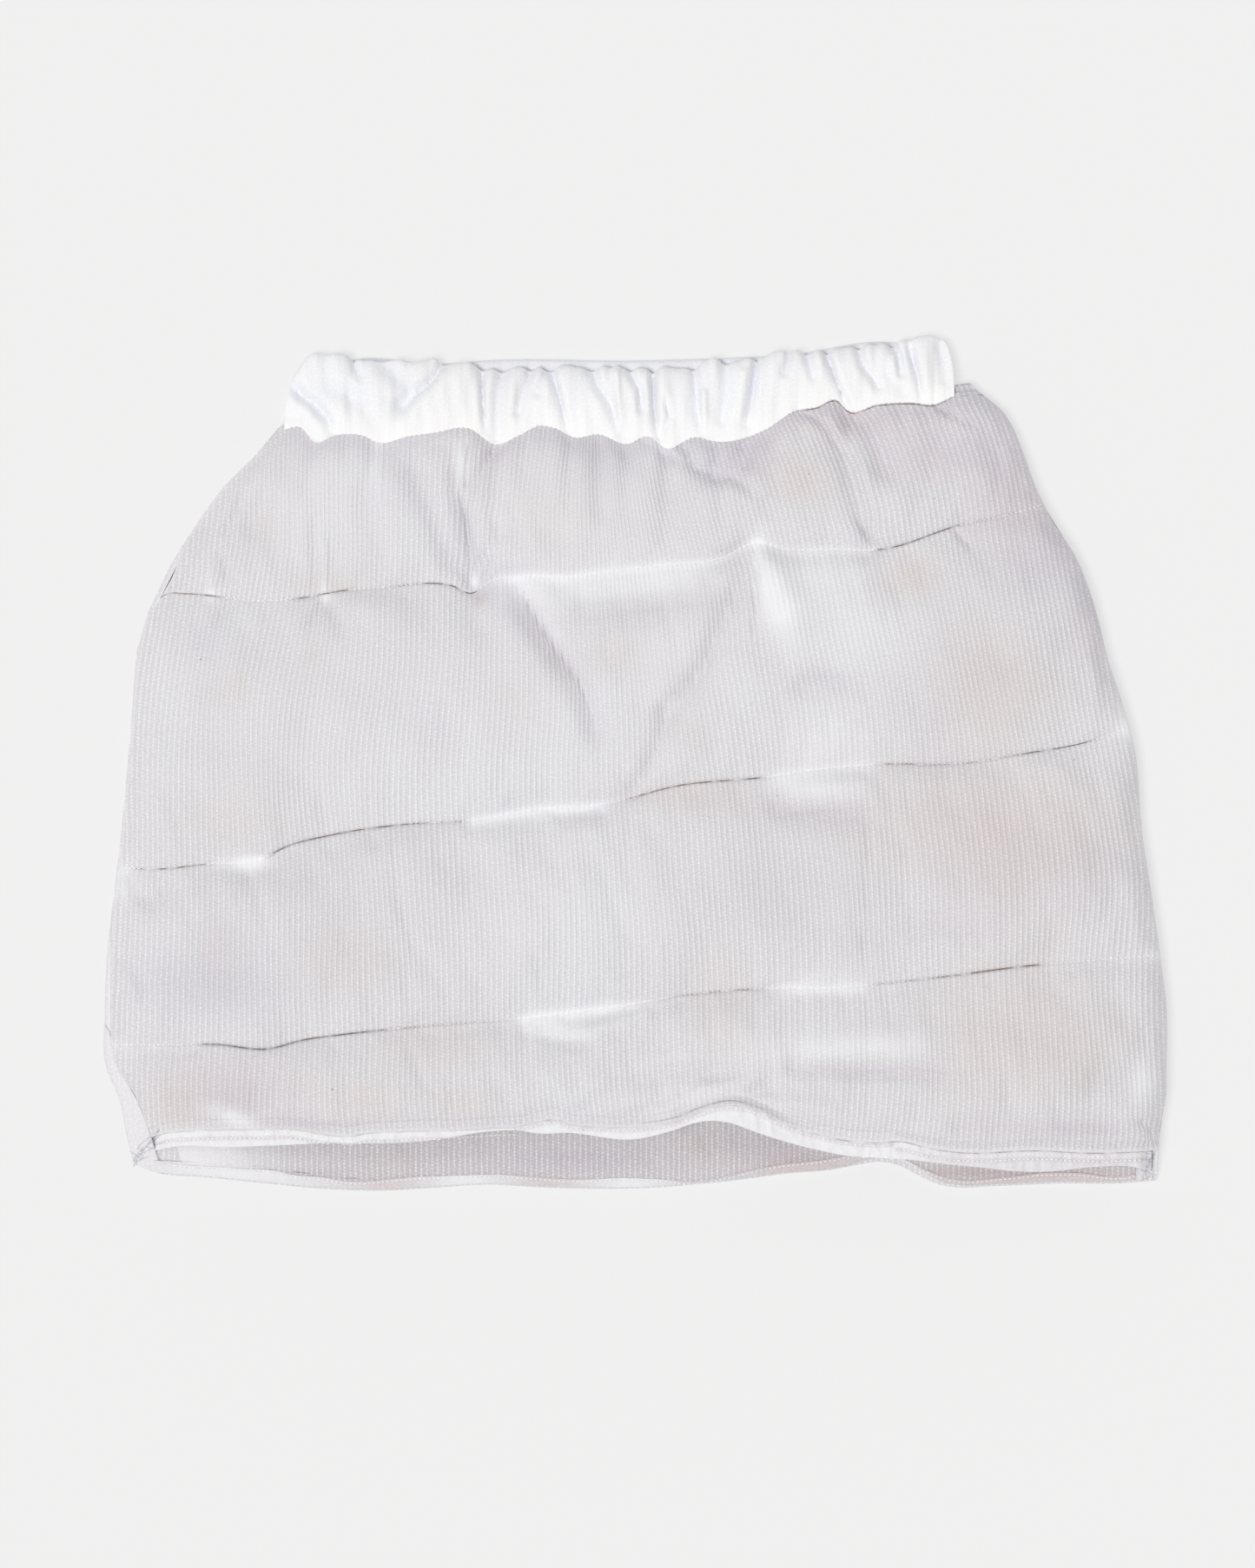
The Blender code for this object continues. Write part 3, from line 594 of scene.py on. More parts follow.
    def base_height(self, x: Array, y: Array) -> Array:
        """Find the top of the padded back before its hem thins."""
        rise = unit(self.channel_at(x, y))
        return self.back_waist_wall + (self.back_wall - self.back_waist_wall) * rise

    def back_top(self, x: Array, y: Array) -> Array:
        """Find the top of the padded back, thin at its hem."""
        return np.minimum(self.base_height(x, y), self.back_hem_taper.at(y - self.back_hem.at(x)))

    def hollow(self, x: Array, y: Array) -> Array:
        """Find the free height between the two linings.

        Args:
            x: Places across the skirt.
            y: Places along the skirt.

        Returns:
            Heights in millimetres.
        """
        position = self.channel_at(x, y)
        height = np.interp(position, range(5), self.hollow_at_rows)
        near_hem = unit(1 - (5.0 - position) / self.wave_length) ** 2
        wave = near_hem * bell(x - self.wave_x, self.wave_width)
        arch = (1 - np.abs(self.front_side(x, y)) ** self.hollow_roundness) ** 0.7
        return height * arch + self.wave_lift * wave

    def front_bottom(self, x: Array, y: Array) -> Array:
        """Find the inside of the front panel, over both linings.

        Args:
            x: Places across the skirt.
            y: Places along the skirt.

        Returns:
            Heights in millimetres.
        """
        linings = 2 * self.seam_gap + 2 * self.lining_wall + self.lining_rest - self.side_gap
        room = linings * smooth_step(self.from_side(x, y) / self.seam_fold)
        return self.base_height(x, y) + self.side_gap + room + self.hollow(x, y)


@dataclass(frozen=True)
class Ripple:
    """An uneven field of soft ripples, the same in each run."""

    seed: int
    shortest: float
    longest: float
    count: int = 26
    stretch: float = 1.0

    def at(self, x: Array, y: Array) -> Array:
        """Find the field's height at each point, mostly between -1 and 1.

        Args:
            x: Places across the skirt.
            y: Places along the skirt.

        Returns:
            The heights.
        """
        random = np.random.default_rng(self.seed)
        total, power = np.zeros_like(x), 0.0
        for _ in range(self.count):
            share = random.random()
            length = self.shortest * (self.longest / self.shortest) ** share
            turn, phase = random.uniform(0, math.pi), random.uniform(0, 2 * math.pi)
            along = x * math.cos(turn) + y * math.sin(turn) / self.stretch
            weight = length / self.longest
            total = total + weight * np.sin(2 * math.pi * along / length + phase)
            power += weight**2
        return total / math.sqrt(power)


@dataclass
class Puckers:
    """The puckers of a quilted wall, found by blowing up a coarse copy of it as cloth."""

    plan: SkirtPlan
    columns: int = 150
    rows_per_channel: int = 18
    pressure: float = 4.0
    growth: float = -0.06
    vertex_mass: float = 0.02
    frames: int = 20
    cap: float = 4.0
    start_ripple: Ripple = Ripple(seed=11, shortest=9.0, longest=26.0, stretch=2.5)
    start_height: float = 0.35

    def net(self) -> tuple[Array, Array]:
        """Lay out the coarse net, in plan.

        Returns:
            The points' x and y.
        """
        count = 4 * self.rows_per_channel + 1
        across, position = np.meshgrid(
            np.linspace(-1.0, 1.0, self.columns), np.linspace(0.0, 4.0, count)
        )
        x = self.plan.spread(across, position, self.plan.half_width)
        return x, self.plan.front_y(x, position)

    def bag(self, x: Array, y: Array, top: Array) -> Piece:
        """Make the closed coarse bag, pinned on its rows, its edges and its underside.

        Args:
            x: Places of the net's points across.
            y: Places of the net's points along.
            top: Their heights.

        Returns:
            The bag.
        """
        rows, columns = x.shape
        start = top + self.start_height * self.start_ripple.at(x, y)
        upper = np.arange(x.size).reshape(x.shape)
        lower = upper.copy()
        lower[1:-1, 1:-1] = x.size + np.arange((rows - 2) * (columns - 2)).reshape(rows - 2, -1)
        inside = (slice(1, -1), slice(1, -1))
        below = self.plan.front_bottom(x, y)
        points = np.vstack([
            np.stack([x.ravel(), y.ravel(), start.ravel()], axis=1),
            np.stack([x[inside].ravel(), y[inside].ravel(), below[inside].ravel()], axis=1),
        ]) * MM
        faces = [
            np.stack([net[:-1, :-1], net[1:, :-1], net[1:, 1:], net[:-1, 1:]], axis=-1).reshape(-1, 4)
            for net in (upper, lower)
        ]
        faces[1] = faces[1][:, ::-1]
        mesh = bpy.data.meshes.new("bag")
        mesh.from_pydata(points.tolist(), [], np.vstack(faces).tolist())
        bag = bpy.data.objects.new("bag", mesh)
        bpy.context.scene.collection.objects.link(bag)
        on_row = (np.arange(rows) % self.rows_per_channel == 0)[:, None]
        on_side = (np.arange(columns) % (columns - 1) == 0)[None]
        held = np.append(upper[on_row | on_side], np.arange(x.size, len(points)))
        bag.vertex_groups.new(name="held").add(held.tolist(), 1.0, "REPLACE")
        return bag

    def lift(self, top: Height) -> Array:
        """Blow the bag up and measure how far each point of its top moved.

        Args:
            top: Finds the quilted height of a point.

        Returns:
            Rises and falls in millimetres, on the coarse net.
        """
        x, y = self.net()
        start = top(x, y)
        bag = self.bag(x, y, start)
        cloth = bag.modifiers.new("air", "CLOTH")
        settings = cloth.settings
        settings.vertex_group_mass = "held"
        settings.use_pressure = True
        settings.uniform_pressure_force = self.pressure
        settings.shrink_min = self.growth
        settings.mass = self.vertex_mass
        settings.effector_weights.gravity = 0.0
        for frame in range(1, self.frames + 1):
            bpy.context.scene.frame_set(frame)
        blown = bag.evaluated_get(bpy.context.evaluated_depsgraph_get()).to_mesh()
        places = np.empty(len(blown.vertices) * 3)
        blown.vertices.foreach_get("co", places)
        moved = places.reshape(-1, 3)[: x.size, 2].reshape(x.shape) / MM - start
        bpy.context.scene.frame_set(1)
        bpy.data.objects.remove(bag)
        LOG.info("puckers: moved %.2f to %.2f mm, spread %.2f", moved.min(), moved.max(), moved.std())
        return np.clip(moved, -self.cap, self.cap)


def between(values: Array, row: Array, column: Array) -> Array:
    """Read a net of values between its points, smoothly.

    Args:
        values: The values on the net's points.
        row: Row numbers with a fraction.
        column: Column numbers with a fraction.

    Returns:
        The values there.
    """
    def weights(part: Array) -> list[Array]:
        """Find the shares of the four nearest lines of the net.

        Args:
            part: Part of the way from one line of the net to the next, 0 to 1.

        Returns:
            The four shares.
        """
        return [
            part * (-0.5 + part * (1.0 - 0.5 * part)),
            1.0 + part * part * (-2.5 + 1.5 * part),
            part * (0.5 + part * (2.0 - 1.5 * part)),
            part * part * (-0.5 + 0.5 * part),
        ]

    first_row = np.clip(np.floor(row).astype(int), 0, values.shape[0] - 2)
    first_column = np.clip(np.floor(column).astype(int), 0, values.shape[1] - 2)
    total = np.zeros_like(row)
    for i, share_down in enumerate(weights(row - first_row)):
        for k, share_across in enumerate(weights(column - first_column)):
            rows = np.clip(first_row + i - 1, 0, values.shape[0] - 1)
            columns = np.clip(first_column + k - 1, 0, values.shape[1] - 1)
            total = total + share_down * share_across * values[rows, columns]
    return total


@dataclass
class ClothWall:
    """A closed wall of cloth: a fine upper net over a coarser lower one, with the same rows."""

    name: str
    upper_x: Array
    upper_y: Array
    upper_z: Array
    lower_x: Array
    lower_y: Array
    lower_z: Array
    cloth_place: tuple[Array, Array] | None = None
    marks: dict[Trace, Array] = field(default_factory=dict)
    first: Array | None = None
    last: Array | None = None
    border: int = 0

    @staticmethod
    def net_triangles(index: Array) -> Array:
        """Split the squares of a net of point numbers into triangles that face up.

        Args:
            index: Point numbers, in rows.

        Returns:
            Triangles, as rows of three point numbers.
        """
        a, b = index[:-1, :-1].ravel(), index[1:, :-1].ravel()
        c, d = index[1:, 1:].ravel(), index[:-1, 1:].ravel()
        return np.vstack([np.stack([a, b, c], axis=1), np.stack([a, c, d], axis=1)])

    @staticmethod
    def zip_triangles(upper: Array, upper_x: Array, lower: Array, lower_x: Array) -> Array:
        """Close the wall between two edges that run along X, facing +Y.

        Args:
            upper: Point numbers of the upper edge, from left to right.
            upper_x: Their places.
            lower: Point numbers of the lower edge.
            lower_x: Their places.

        Returns:
            Triangles, as rows of three point numbers.
        """
        found, i, k = [], 0, 0
        while i < len(upper) - 1 or k < len(lower) - 1:
            take_upper = k == len(lower) - 1 or (
                i < len(upper) - 1 and upper_x[i + 1] <= lower_x[k + 1]
            )
            if take_upper:
                found.append((upper[i], upper[i + 1], lower[k]))
                i += 1
            else:
                found.append((upper[i], lower[k + 1], lower[k]))
                k += 1
        return np.array(found)

    def build(self) -> Piece:
        """Make the wall as a mesh object at the origin.

        Returns:
            The new object, shaded smooth, with its cloth map and its marks.
        """
        rows, columns = self.upper_x.shape
        first = np.zeros(rows, int) if self.first is None else self.first
        last = np.full(rows, columns - 1) if self.last is None else self.last
        number = np.arange(columns)[None]
        on_border = (number < self.border) | (number >= columns - self.border)
        used = np.where(on_border, number, np.clip(number, first[:, None], last[:, None]))
        upper = np.arange(rows)[:, None] * columns + used
        lower = rows * columns + np.arange(self.lower_x.size).reshape(self.lower_x.shape)
        left_u, left_l, right_u, right_l = upper[:, 0], lower[:, 0], upper[:, -1], lower[:, -1]
        sides = [
            np.stack([left_u[:-1], left_l[:-1], left_l[1:]], axis=1),
            np.stack([left_u[:-1], left_l[1:], left_u[1:]], axis=1),
            np.stack([right_u[:-1], right_l[1:], right_l[:-1]], axis=1),
            np.stack([right_u[:-1], right_u[1:], right_l[1:]], axis=1),
        ]
        top_end = self.zip_triangles(upper[0], self.upper_x[0], lower[0], self.lower_x[0])
        hem_end = self.zip_triangles(upper[-1], self.upper_x[-1], lower[-1], self.lower_x[-1])
        triangles = np.vstack([
            self.net_triangles(upper),
            self.net_triangles(lower)[:, ::-1],
            *sides,
            top_end,
            hem_end[:, ::-1],
        ])
        a, b, c = triangles.T
        triangles = triangles[(a != b) & (b != c) & (c != a)]
        kept, renumbered = np.unique(triangles, return_inverse=True)
        triangles = renumbered.reshape(-1, 3)
        points = np.stack([
            np.concatenate([upper.ravel(), lower.ravel()])
            for upper, lower in (
                (self.upper_x, self.lower_x),
                (self.upper_y, self.lower_y),
                (self.upper_z, self.lower_z),
            )
        ], axis=1)[kept] * MM
        mesh = bpy.data.meshes.new(self.name)
        mesh.vertices.add(len(points))
        mesh.vertices.foreach_set("co", points.astype(np.float32).ravel())
        mesh.loops.add(triangles.size)
        mesh.loops.foreach_set("vertex_index", triangles.astype(np.int32).ravel())
        mesh.polygons.add(len(triangles))
        mesh.polygons.foreach_set("loop_start", np.arange(0, triangles.size, 3, dtype=np.int32))
        mesh.update(calc_edges=True)
        mesh.validate()
        self.write_marks(mesh, kept, triangles)
        mesh.shade_smooth()
        piece = bpy.data.objects.new(self.name, mesh)
        bpy.context.scene.collection.objects.link(piece)
        return piece

    def write_marks(self, mesh: bpy.types.Mesh, kept: Array, triangles: Array) -> None:
        """Write the cloth map and the marks onto the mesh.

        Args:
            mesh: The new mesh.
            kept: Numbers of the net points that the mesh uses.
            triangles: The mesh's triangles.
        """
        across, along = self.cloth_place or (self.upper_x, self.upper_y)
        places = np.stack([
            np.concatenate([across.ravel(), self.lower_x.ravel()]),
            np.concatenate([along.ravel(), self.lower_y.ravel()]),
        ], axis=1)[kept] * MM
        layer = mesh.uv_layers.new(name=CLOTH_MAP)
        layer.data.foreach_set("uv", places[triangles.ravel()].astype(np.float32).ravel())
        for trace in Trace:
            plain = PLAIN_MARKS.get(trace, 0.0)
            values = self.marks.get(trace, np.full_like(self.upper_x, plain))
            full = np.concatenate([values.ravel(), np.full(self.lower_x.size, plain)])
            attribute = mesh.attributes.new(trace.value, "FLOAT", "POINT")
            attribute.data.foreach_set("value", full[kept].astype(np.float32))


def mount(piece: Piece, slot: Slot, finish: Material) -> None:
    """Give a piece its finish and its body.

    Args:
        piece: The piece.
        slot: The record's slot; not used.
        finish: The piece's material.
    """
    piece.data.materials.clear()
    piece.data.materials.append(finish)
    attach(piece, BODY)


def dress(
    wall: ClothWall, node: str, slot: Slot, finish: Material
) -> Piece:
    """Build a wall of cloth in the place of a node of the frame.

    Args:
        wall: The wall.
        node: The node that it replaces.
        slot: The record's slot.
        finish: Its material.

    Returns:
        The piece.
    """
    piece = wall.build()
    mount(piece, slot, finish)
    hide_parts(node)
    return piece


LEAN_PLACES = (-216.0, -130.0, -44.0, 42.0, 128.0, 214.0)
LEANS = (
    (178.0, (0, 0, -6, 10, 29, 24)), (146.0, (-2, -1, -3, 9, 18, 13)),
    (120.0, (-4, 2, -1, 12, 12, 8)), (85.0, (-8, -4, 0, 8, 12, 9)),
    (52.0, (-9, -6, 1, 6, 12, 9)), (9.0, (-2, -3, -3, 6, 3, 12)),
    (-34.0, (2, 5, 4, 6, 7, 7)), (-86.0, (-1, 2, 1, 2, 1, -2)),
    (-146.0, (-3, -2, 1, 2, 2, 5)), (-172.0, (2, 6, 6, 3, -5, -2)),
)


@dataclass
class FrontShell:
    """The front shell with its wadding: ribbed cloth, quilted in four channels."""

    plan: SkirtPlan
    rib_pitch: float = 2.72
    columns_per_rib: int = 4
    rib_height: float = 0.22
    ribs_reach: float = 284.0
    row_wall: float = 3.4
    shell_wall: float = 2.6
    tongue_wall: float = 2.0
    channel_padding: tuple[float, ...] = (11.5, 14.0, 13.0, 9.5)
    channel_fullness: float = 2.4
    padding_roundness: float = 8.0
    side_padding: float = 8.4
    quilting_fade: float = 9.0
    side_quilting: float = 0.35
    creased_padding: float = 6.0
    gather_width: float = 5.0
    gather_start: float = 6.0
    gather_spread: float = 0.0012
    gather_widening: float = 30.0
    gather_narrow: float = 0.55
    upright_at: float = -120.0
    lean_levels: tuple[float, float, float] = (-210.0, 216.0, 3.0)
    drift_window: int = 61
    waist_open: float = 0.7
    hem_open: float = 0.8
    closed_lift: float = 2.4
    closed_reach: float = 8.0
    slit_depth: float = 1.6
    slit_width: float = 0.5
    open_reach: tuple[float, float] = (9.0, 6.0)
    open_share: float = 0.55
    near_row: tuple[float, ...] = (0.0, 0.0045, 0.01, 0.02, 0.036, 0.062, 0.096)
    middle_rows: int = 14
    middle_from: float = 0.14
    hem_rows: tuple[float, ...] = (4.0, 4.08, 4.3, 4.6, 4.85, 5.0)
    tongue_rows: tuple[float, ...] = (-1.0, -0.5)
    inside_columns: int = 60
    border: tuple[float, ...] = (0.0, 0.25, 0.7, 1.4, 2.4, 3.6)
    border_step: float = 1.4
    smooth_border: float = 4.0
    border_fade: float = 3.0
    hem_sharpness: float = 4.0
    least_gap: float = 0.05
    lumps: Ripple = Ripple(seed=5, shortest=24.0, longest=80.0, stretch=0.8)
    lump_height: float = 1.1
    dents: Ripple = Ripple(seed=8, shortest=8.0, longest=22.0, stretch=1.8)
    dent_depth: float = 0.2
    pucker_share: float = 0.3
    crease_gain: float = 1.5
    gather_gain: float = 1.5
    wander: Ripple = Ripple(seed=21, shortest=30.0, longest=120.0, stretch=1.5)
    wander_width: float = 0.9

    def row_positions(self) -> Array:
        """List the channel positions of the net's rows.

        Returns:
            The positions, from the tongue down to the hem.
        """
        middle = np.linspace(self.middle_from, 1 - self.middle_from, self.middle_rows)
        near = np.array(self.near_row)
        channel = np.concatenate([near, middle, 1 - near[:0:-1]])
        inside = np.concatenate([number + channel for number in range(4)])
        return np.concatenate([self.tongue_rows, inside, self.hem_rows])

    def creases(self, x: Array, y: Array) -> Array:
        """Measure the depth of the creases and of the gathers below the waist seam.

        Args:
            x: Places across the skirt.
            y: Places along the skirt.

        Returns:
            Depths in millimetres, negative on a ridge.
        """
        depth = self.crease_gain * creased(CREASES, x, y)
        below = self.plan.waist.at(x) - y
        for gather in GATHERS:
            fade = unit(1 - below / gather.length)
            fade = fade * smooth_step(below / self.gather_start)
            away = x - gather.seam * (1 + self.gather_spread * below)
            wider = unit(below / self.gather_widening)
            width = self.gather_width * (self.gather_narrow + (1 - self.gather_narrow) * wider)
            depth = depth + self.gather_gain * gather.depth * fade * bell(away, width)
        return depth

    def padding(self, x: Array, y: Array) -> Array:
        """Measure the thickness of shell and wadding: full in a channel, thin along a row.

        Args:
            x: Places across the skirt.
            y: Places along the skirt.

        Returns:
            Thickness in millimetres.
        """
        position = self.plan.channel_at(x, y)
        lines = self.plan.lines(x)
        channel = np.clip(np.floor(position).astype(int), 0, 3)
        part = unit(position - channel)
        upper = np.take_along_axis(np.array(lines), channel[None], axis=0)[0]
        lower = np.take_along_axis(np.array(lines), channel[None] + 1, axis=0)[0]
        height = upper - lower
        openness = [np.full_like(x, self.waist_open), *(row.openness.at(x) for row in self.plan.rows)]
        openness = np.array([*openness, np.full_like(x, self.hem_open)])
        open_above = np.take_along_axis(openness, channel[None], axis=0)[0]
        open_below = np.take_along_axis(openness, channel[None] + 1, axis=0)[0]
        near_upper = part < 0.5
        away = np.where(near_upper, part, 1 - part) * height
        open_here = np.where(near_upper, open_above, open_below)
        raised = self.closed_lift * (1 - open_here) * np.exp(-away / self.closed_reach)
        moved = away + raised
        even = np.clip(moved / height, 0.0, 0.5)
        puff = np.sqrt(1 - np.abs(2 * even - 1) ** self.channel_fullness)
        reach = np.where(near_upper, *self.open_reach)
        puff = puff * (1 - open_here * (1 - smooth_step(away / reach)) * self.open_share)
        full = np.take(self.channel_padding, channel)
        slit = self.slit_depth * (1 - open_here) * bell(away, self.slit_width)
        quilted = self.row_wall + (full - self.row_wall) * puff - slit
        inside = (position > 0.0) & (position < 4.0)
        turned = self.row_wall + (self.shell_wall - self.row_wall) * unit(position - 4.0)
        at_edge = np.where(position > 2.0, turned, self.tongue_wall)
        return np.where(inside, quilted, at_edge)

    def top(self, x: Array, y: Array) -> Array:
        """Find the outside of the front, quilted and creased, without its ribs.

        Args:
            x: Places across the skirt.
            y: Places along the skirt.

        Returns:
            Heights in millimetres.
        """
        plan = self.plan
        edge = (1 - np.abs(plan.front_side(x, y)) ** self.padding_roundness) ** 0.5
        quilted = smooth_step(plan.from_side(x, y) / self.quilting_fade)
        quilted = self.side_quilting + (1 - self.side_quilting) * quilted
        inside = np.abs(plan.channel_at(x, y) - 2.0) < 2.0
        padding = self.padding(x, y)
        padded = np.where(inside, self.side_padding + (padding - self.side_padding) * quilted, padding)
        room = np.maximum(padded - self.shell_wall, 0.0) * edge
        uneven = self.lump_height * self.lumps.at(x, y) + self.dent_depth * self.dents.at(x, y)
        creased = room + (uneven - self.creases(x, y)) * unit(room / self.creased_padding)
        return plan.front_bottom(x, y) + np.minimum(padded, self.shell_wall) + np.maximum(creased, 0.0)

    def lean(self, grain: Array, y: Array) -> Array:
        """Measure how far a rib has leant aside from its place low on the skirt.

        Args:
            grain: Places across the cloth.
            y: Places along the skirt.

        Returns:
            Shifts in millimetres.
        """
        heights = np.array([height for height, _ in LEANS])[::-1]
        slopes = np.tan(np.radians(np.array([leans for _, leans in LEANS], dtype=float)))[::-1].T
        levels = np.arange(*self.lean_levels)
        step = self.lean_levels[2]
        shifts = np.stack([np.cumsum(np.interp(levels, heights, slope)) * -step for slope in slopes])
        shifts = shifts - np.stack([np.interp([self.upright_at], levels, row) for row in shifts])
        place = np.interp(grain, LEAN_PLACES, range(len(LEAN_PLACES)))
        return between(shifts, place, (np.clip(y, levels[0], levels[-1]) - levels[0]) / step)

    def net(self) -> tuple[Array, Array, Array]:
        """Lay the net's columns along the ribs, closer in plan where the cloth is steep.

        Returns:
            The points' x and y, and the place of each column across the cloth.
        """
        spacing = self.rib_pitch / self.columns_per_rib
        count = round(self.ribs_reach / spacing)
        grain, position = np.meshgrid(np.arange(-count, count + 1) * spacing, self.row_positions())
        x = grain.copy()
        for _ in range(6):
            y = self.plan.front_y(x, position)
            x = grain + self.lean(grain, y) + self.wander_width * self.wander.at(grain, y)
        flat = x.copy()
        for _ in range(2):
            y = self.plan.front_y(x, position)
            relief = -self.creases(x, y)
            rise = np.diff(relief, axis=1)
            run = np.diff(x, axis=1)
            length = np.cumsum(np.hypot(rise, run), axis=1)
            length = np.hstack([np.zeros((len(x), 1)), length])
            share = length / length[:, -1:]
            even = (flat - flat[:, :1]) / (flat[:, -1:] - flat[:, :1])
            moved = np.stack([np.interp(*row) for row in zip(even, share, x)]) - flat
            window = np.ones(self.drift_window) / self.drift_window
            drift = np.stack([np.convolve(row, window, "same") for row in moved])
            x = flat + moved - drift
        return x, position, grain

    def trimmed(
        self, x: Array, position: Array, grain: Array
    ) -> tuple[Array, Array, Array, Array, Array]:
        """Cut the net beside both side seams and border it with columns that follow them.

        Args:
            x: Places of the points.
            position: Their channel positions.
            grain: Their places across the cloth.

        Returns:
            The points' x, channel positions and places across the cloth, and each row's first
            and last used column.
        """
        plan, reach, whole = self.plan, self.border[-1] + self.border_step, x
        for _ in range(SETTLING_STEPS):
            y = plan.front_y(x, position)
            left, right = plan.seam_x(y) + reach, plan.right.at(y) - reach
            x = np.clip(whole, left, right)
        last = x.shape[1] - 1
        cut_left = np.maximum(np.argmax(whole > left + self.least_gap, axis=1) - 1, 0)
        from_right = np.argmax((whole < right - self.least_gap)[:, ::-1], axis=1)
        cut_right = np.minimum(last - from_right + 1, last)
        inward = np.array(self.border)
        level = np.repeat(position[:, :1], len(inward), axis=1)
        left_x, right_x = x[:, :1] - reach + inward, x[:, -1:] + reach - inward[::-1]
        for _ in range(8):
            left_x = plan.seam_x(plan.front_y(left_x, level)) + inward
            right_x = plan.right.at(plan.front_y(right_x, level)) - inward[::-1]
        left_grain, right_grain = (
            np.stack([np.interp(*row) for row in zip(side, whole, grain)]) for side in (left_x, right_x)
        )
        return (
            np.hstack([left_x, x, right_x]),
            np.hstack([level, position, level]),
            np.hstack([left_grain, grain, right_grain]),
            cut_left + len(inward),
            cut_right + len(inward),
        )

    def build(self, finish: Material) -> Piece:
        """Build the shell and dress it.

        Args:
            finish: The ribbed cotton.

        Returns:
            The shell.
        """
        plan = self.plan
        x, position, grain = self.net()
        x, position, grain, first, last = self.trimmed(x, position, grain)
        y = plan.front_y(x, position)
        across = np.linspace(0.0, 1.0, self.inside_columns)[None]
        lower_x = x[:, :1] + (x[:, -1:] - x[:, :1]) * across
        lower_y = plan.front_y(lower_x, np.repeat(position[:, :1], self.inside_columns, axis=1))
        inward = plan.from_side(x, y) - self.smooth_border
        above_hem = smooth_step((5.0 - position) * self.hem_sharpness)
        ribs = smooth_step(inward / self.border_fade) * above_hem
        rib = np.cos(2 * math.pi * grain / self.rib_pitch)
        puckers = Puckers(plan)
        lift = puckers.lift(self.top)
        column = (plan.front_side(x, y) + 1) / 2 * (puckers.columns - 1)
        row = np.clip(position, 0.0, 4.0) * puckers.rows_per_channel
        puckered = self.pucker_share * between(lift, row, column)
        z = self.top(x, y) + puckered + self.rib_height * rib * ribs
        wall = ClothWall(
            "front_shell", x, y, z, lower_x, lower_y, plan.front_bottom(lower_x, lower_y),
            cloth_place=(grain, y),
            marks=FrontMarks(plan).marks(x, y, position, self.creases(x, y)),
            first=first,
            last=last,
            border=len(self.border),
        )
        piece = dress(wall, "front_panel", Slot.SHELL, finish)
        return piece


WARM_PATCHES = patches(
    (-42, 122, 24, 18, 0.5), (82, 140, 20, 13, 0.6), (16, 132, 10, 10, 0.4),
    (140, 146, 18, 12, 0.4), (139, 94, 12, 10, 0.5), (176, 42, 30, 30, 0.7), (130, 92, 15, 10, 0.4),
    (170, -25, 55, 22, 0.65), (-58, 30, 19, 19, 0.35), (-8, 53, 15, 9, 0.4), (29, 17, 14, 14, 0.45),
    (30, -16, 36, 9, 0.55), (-206, -88, 12, 12, 0.4), (-142, -97, 27, 18, 0.5),
    (-95, -140, 34, 12, 0.5), (45, -118, 18, 25, 0.45), (190, -135, 50, 32, 0.6),
    (-226, -170, 12, 10, 0.5), (-133, -168, 20, 10, 0.5), (-84, -167, 24, 9, 0.5),
    (-178, 62, 12, 12, 0.35), (-211, 34, 7, 7, 0.4), (-196, 38, 7, 10, 0.5), (-160, 52, 6, 5, 0.5),
    (-181, 117, 5, 10, 0.35), (-155, 90, 26, 9, 0.45), (-77, 81, 4, 4, 0.9),
    (-90, -60, 40, 20, 0.25), (-205, -30, 30, 15, 0.3), (120, 168, 30, 8, 0.35),
    (-200, -158, 60, 20, 0.45), (190, -55, 55, 30, 0.35), (190, 130, 30, 30, 0.4),
)
STAINS = patches(
    (224, -156, 6, 9, 0.16, -20), (-152, -107, 4, 6, 0.07), (-30, 78, 4, 3, 0.05),
    (178, 36, 16, 18, 0.035), (-128, -41, 20, 3, 0.06, 10), (215, -140, 18, 16, 0.04),
)
SHADE_PATCHES = patches(
    (-64, 82, 12, 9, 0.8), (22, 43, 15, 11, 0.5), (-208, -112, 36, 14, 0.6),
    (-168, -58, 12, 8, 0.5), (215, -181, 42, 5, 0.7), (-198, -164, 12, 6, 0.5),
    (-164, -178, 28, 4, 0.8), (190, 95, 18, 14, 0.6), (-215, 60, 8, 10, 0.4), (52, 150, 14, 8, 0.8),
    (108, 170, 14, 8, 0.6), (-20, 145, 14, 14, 0.3), (-120, 135, 22, 14, 0.3),
    (92, -24, 26, 4, 0.7), (20, 76, 50, 5, 0.4, 8), (96, 42, 16, 4, 0.5), (110, -152, 40, 4, 0.6),
    (-150, -75, 14, 12, 0.3), (-60, -178, 60, 4, 0.5), (150, 20, 10, 50, 0.2),
    (-100, 20, 12, 20, 0.2), (-51, 69, 24, 6.5, 1.3, -52), (-66, 84, 11, 6, 0.9),
    (193, -52, 50, 24, 0.35), (-203, -159, 34, 16, 0.5), (150, 155, 26, 14, 0.7),
    (72, -60, 30, 20, 0.35), (-210, -100, 30, 20, 0.35), (190, 130, 24, 24, 0.5),
)
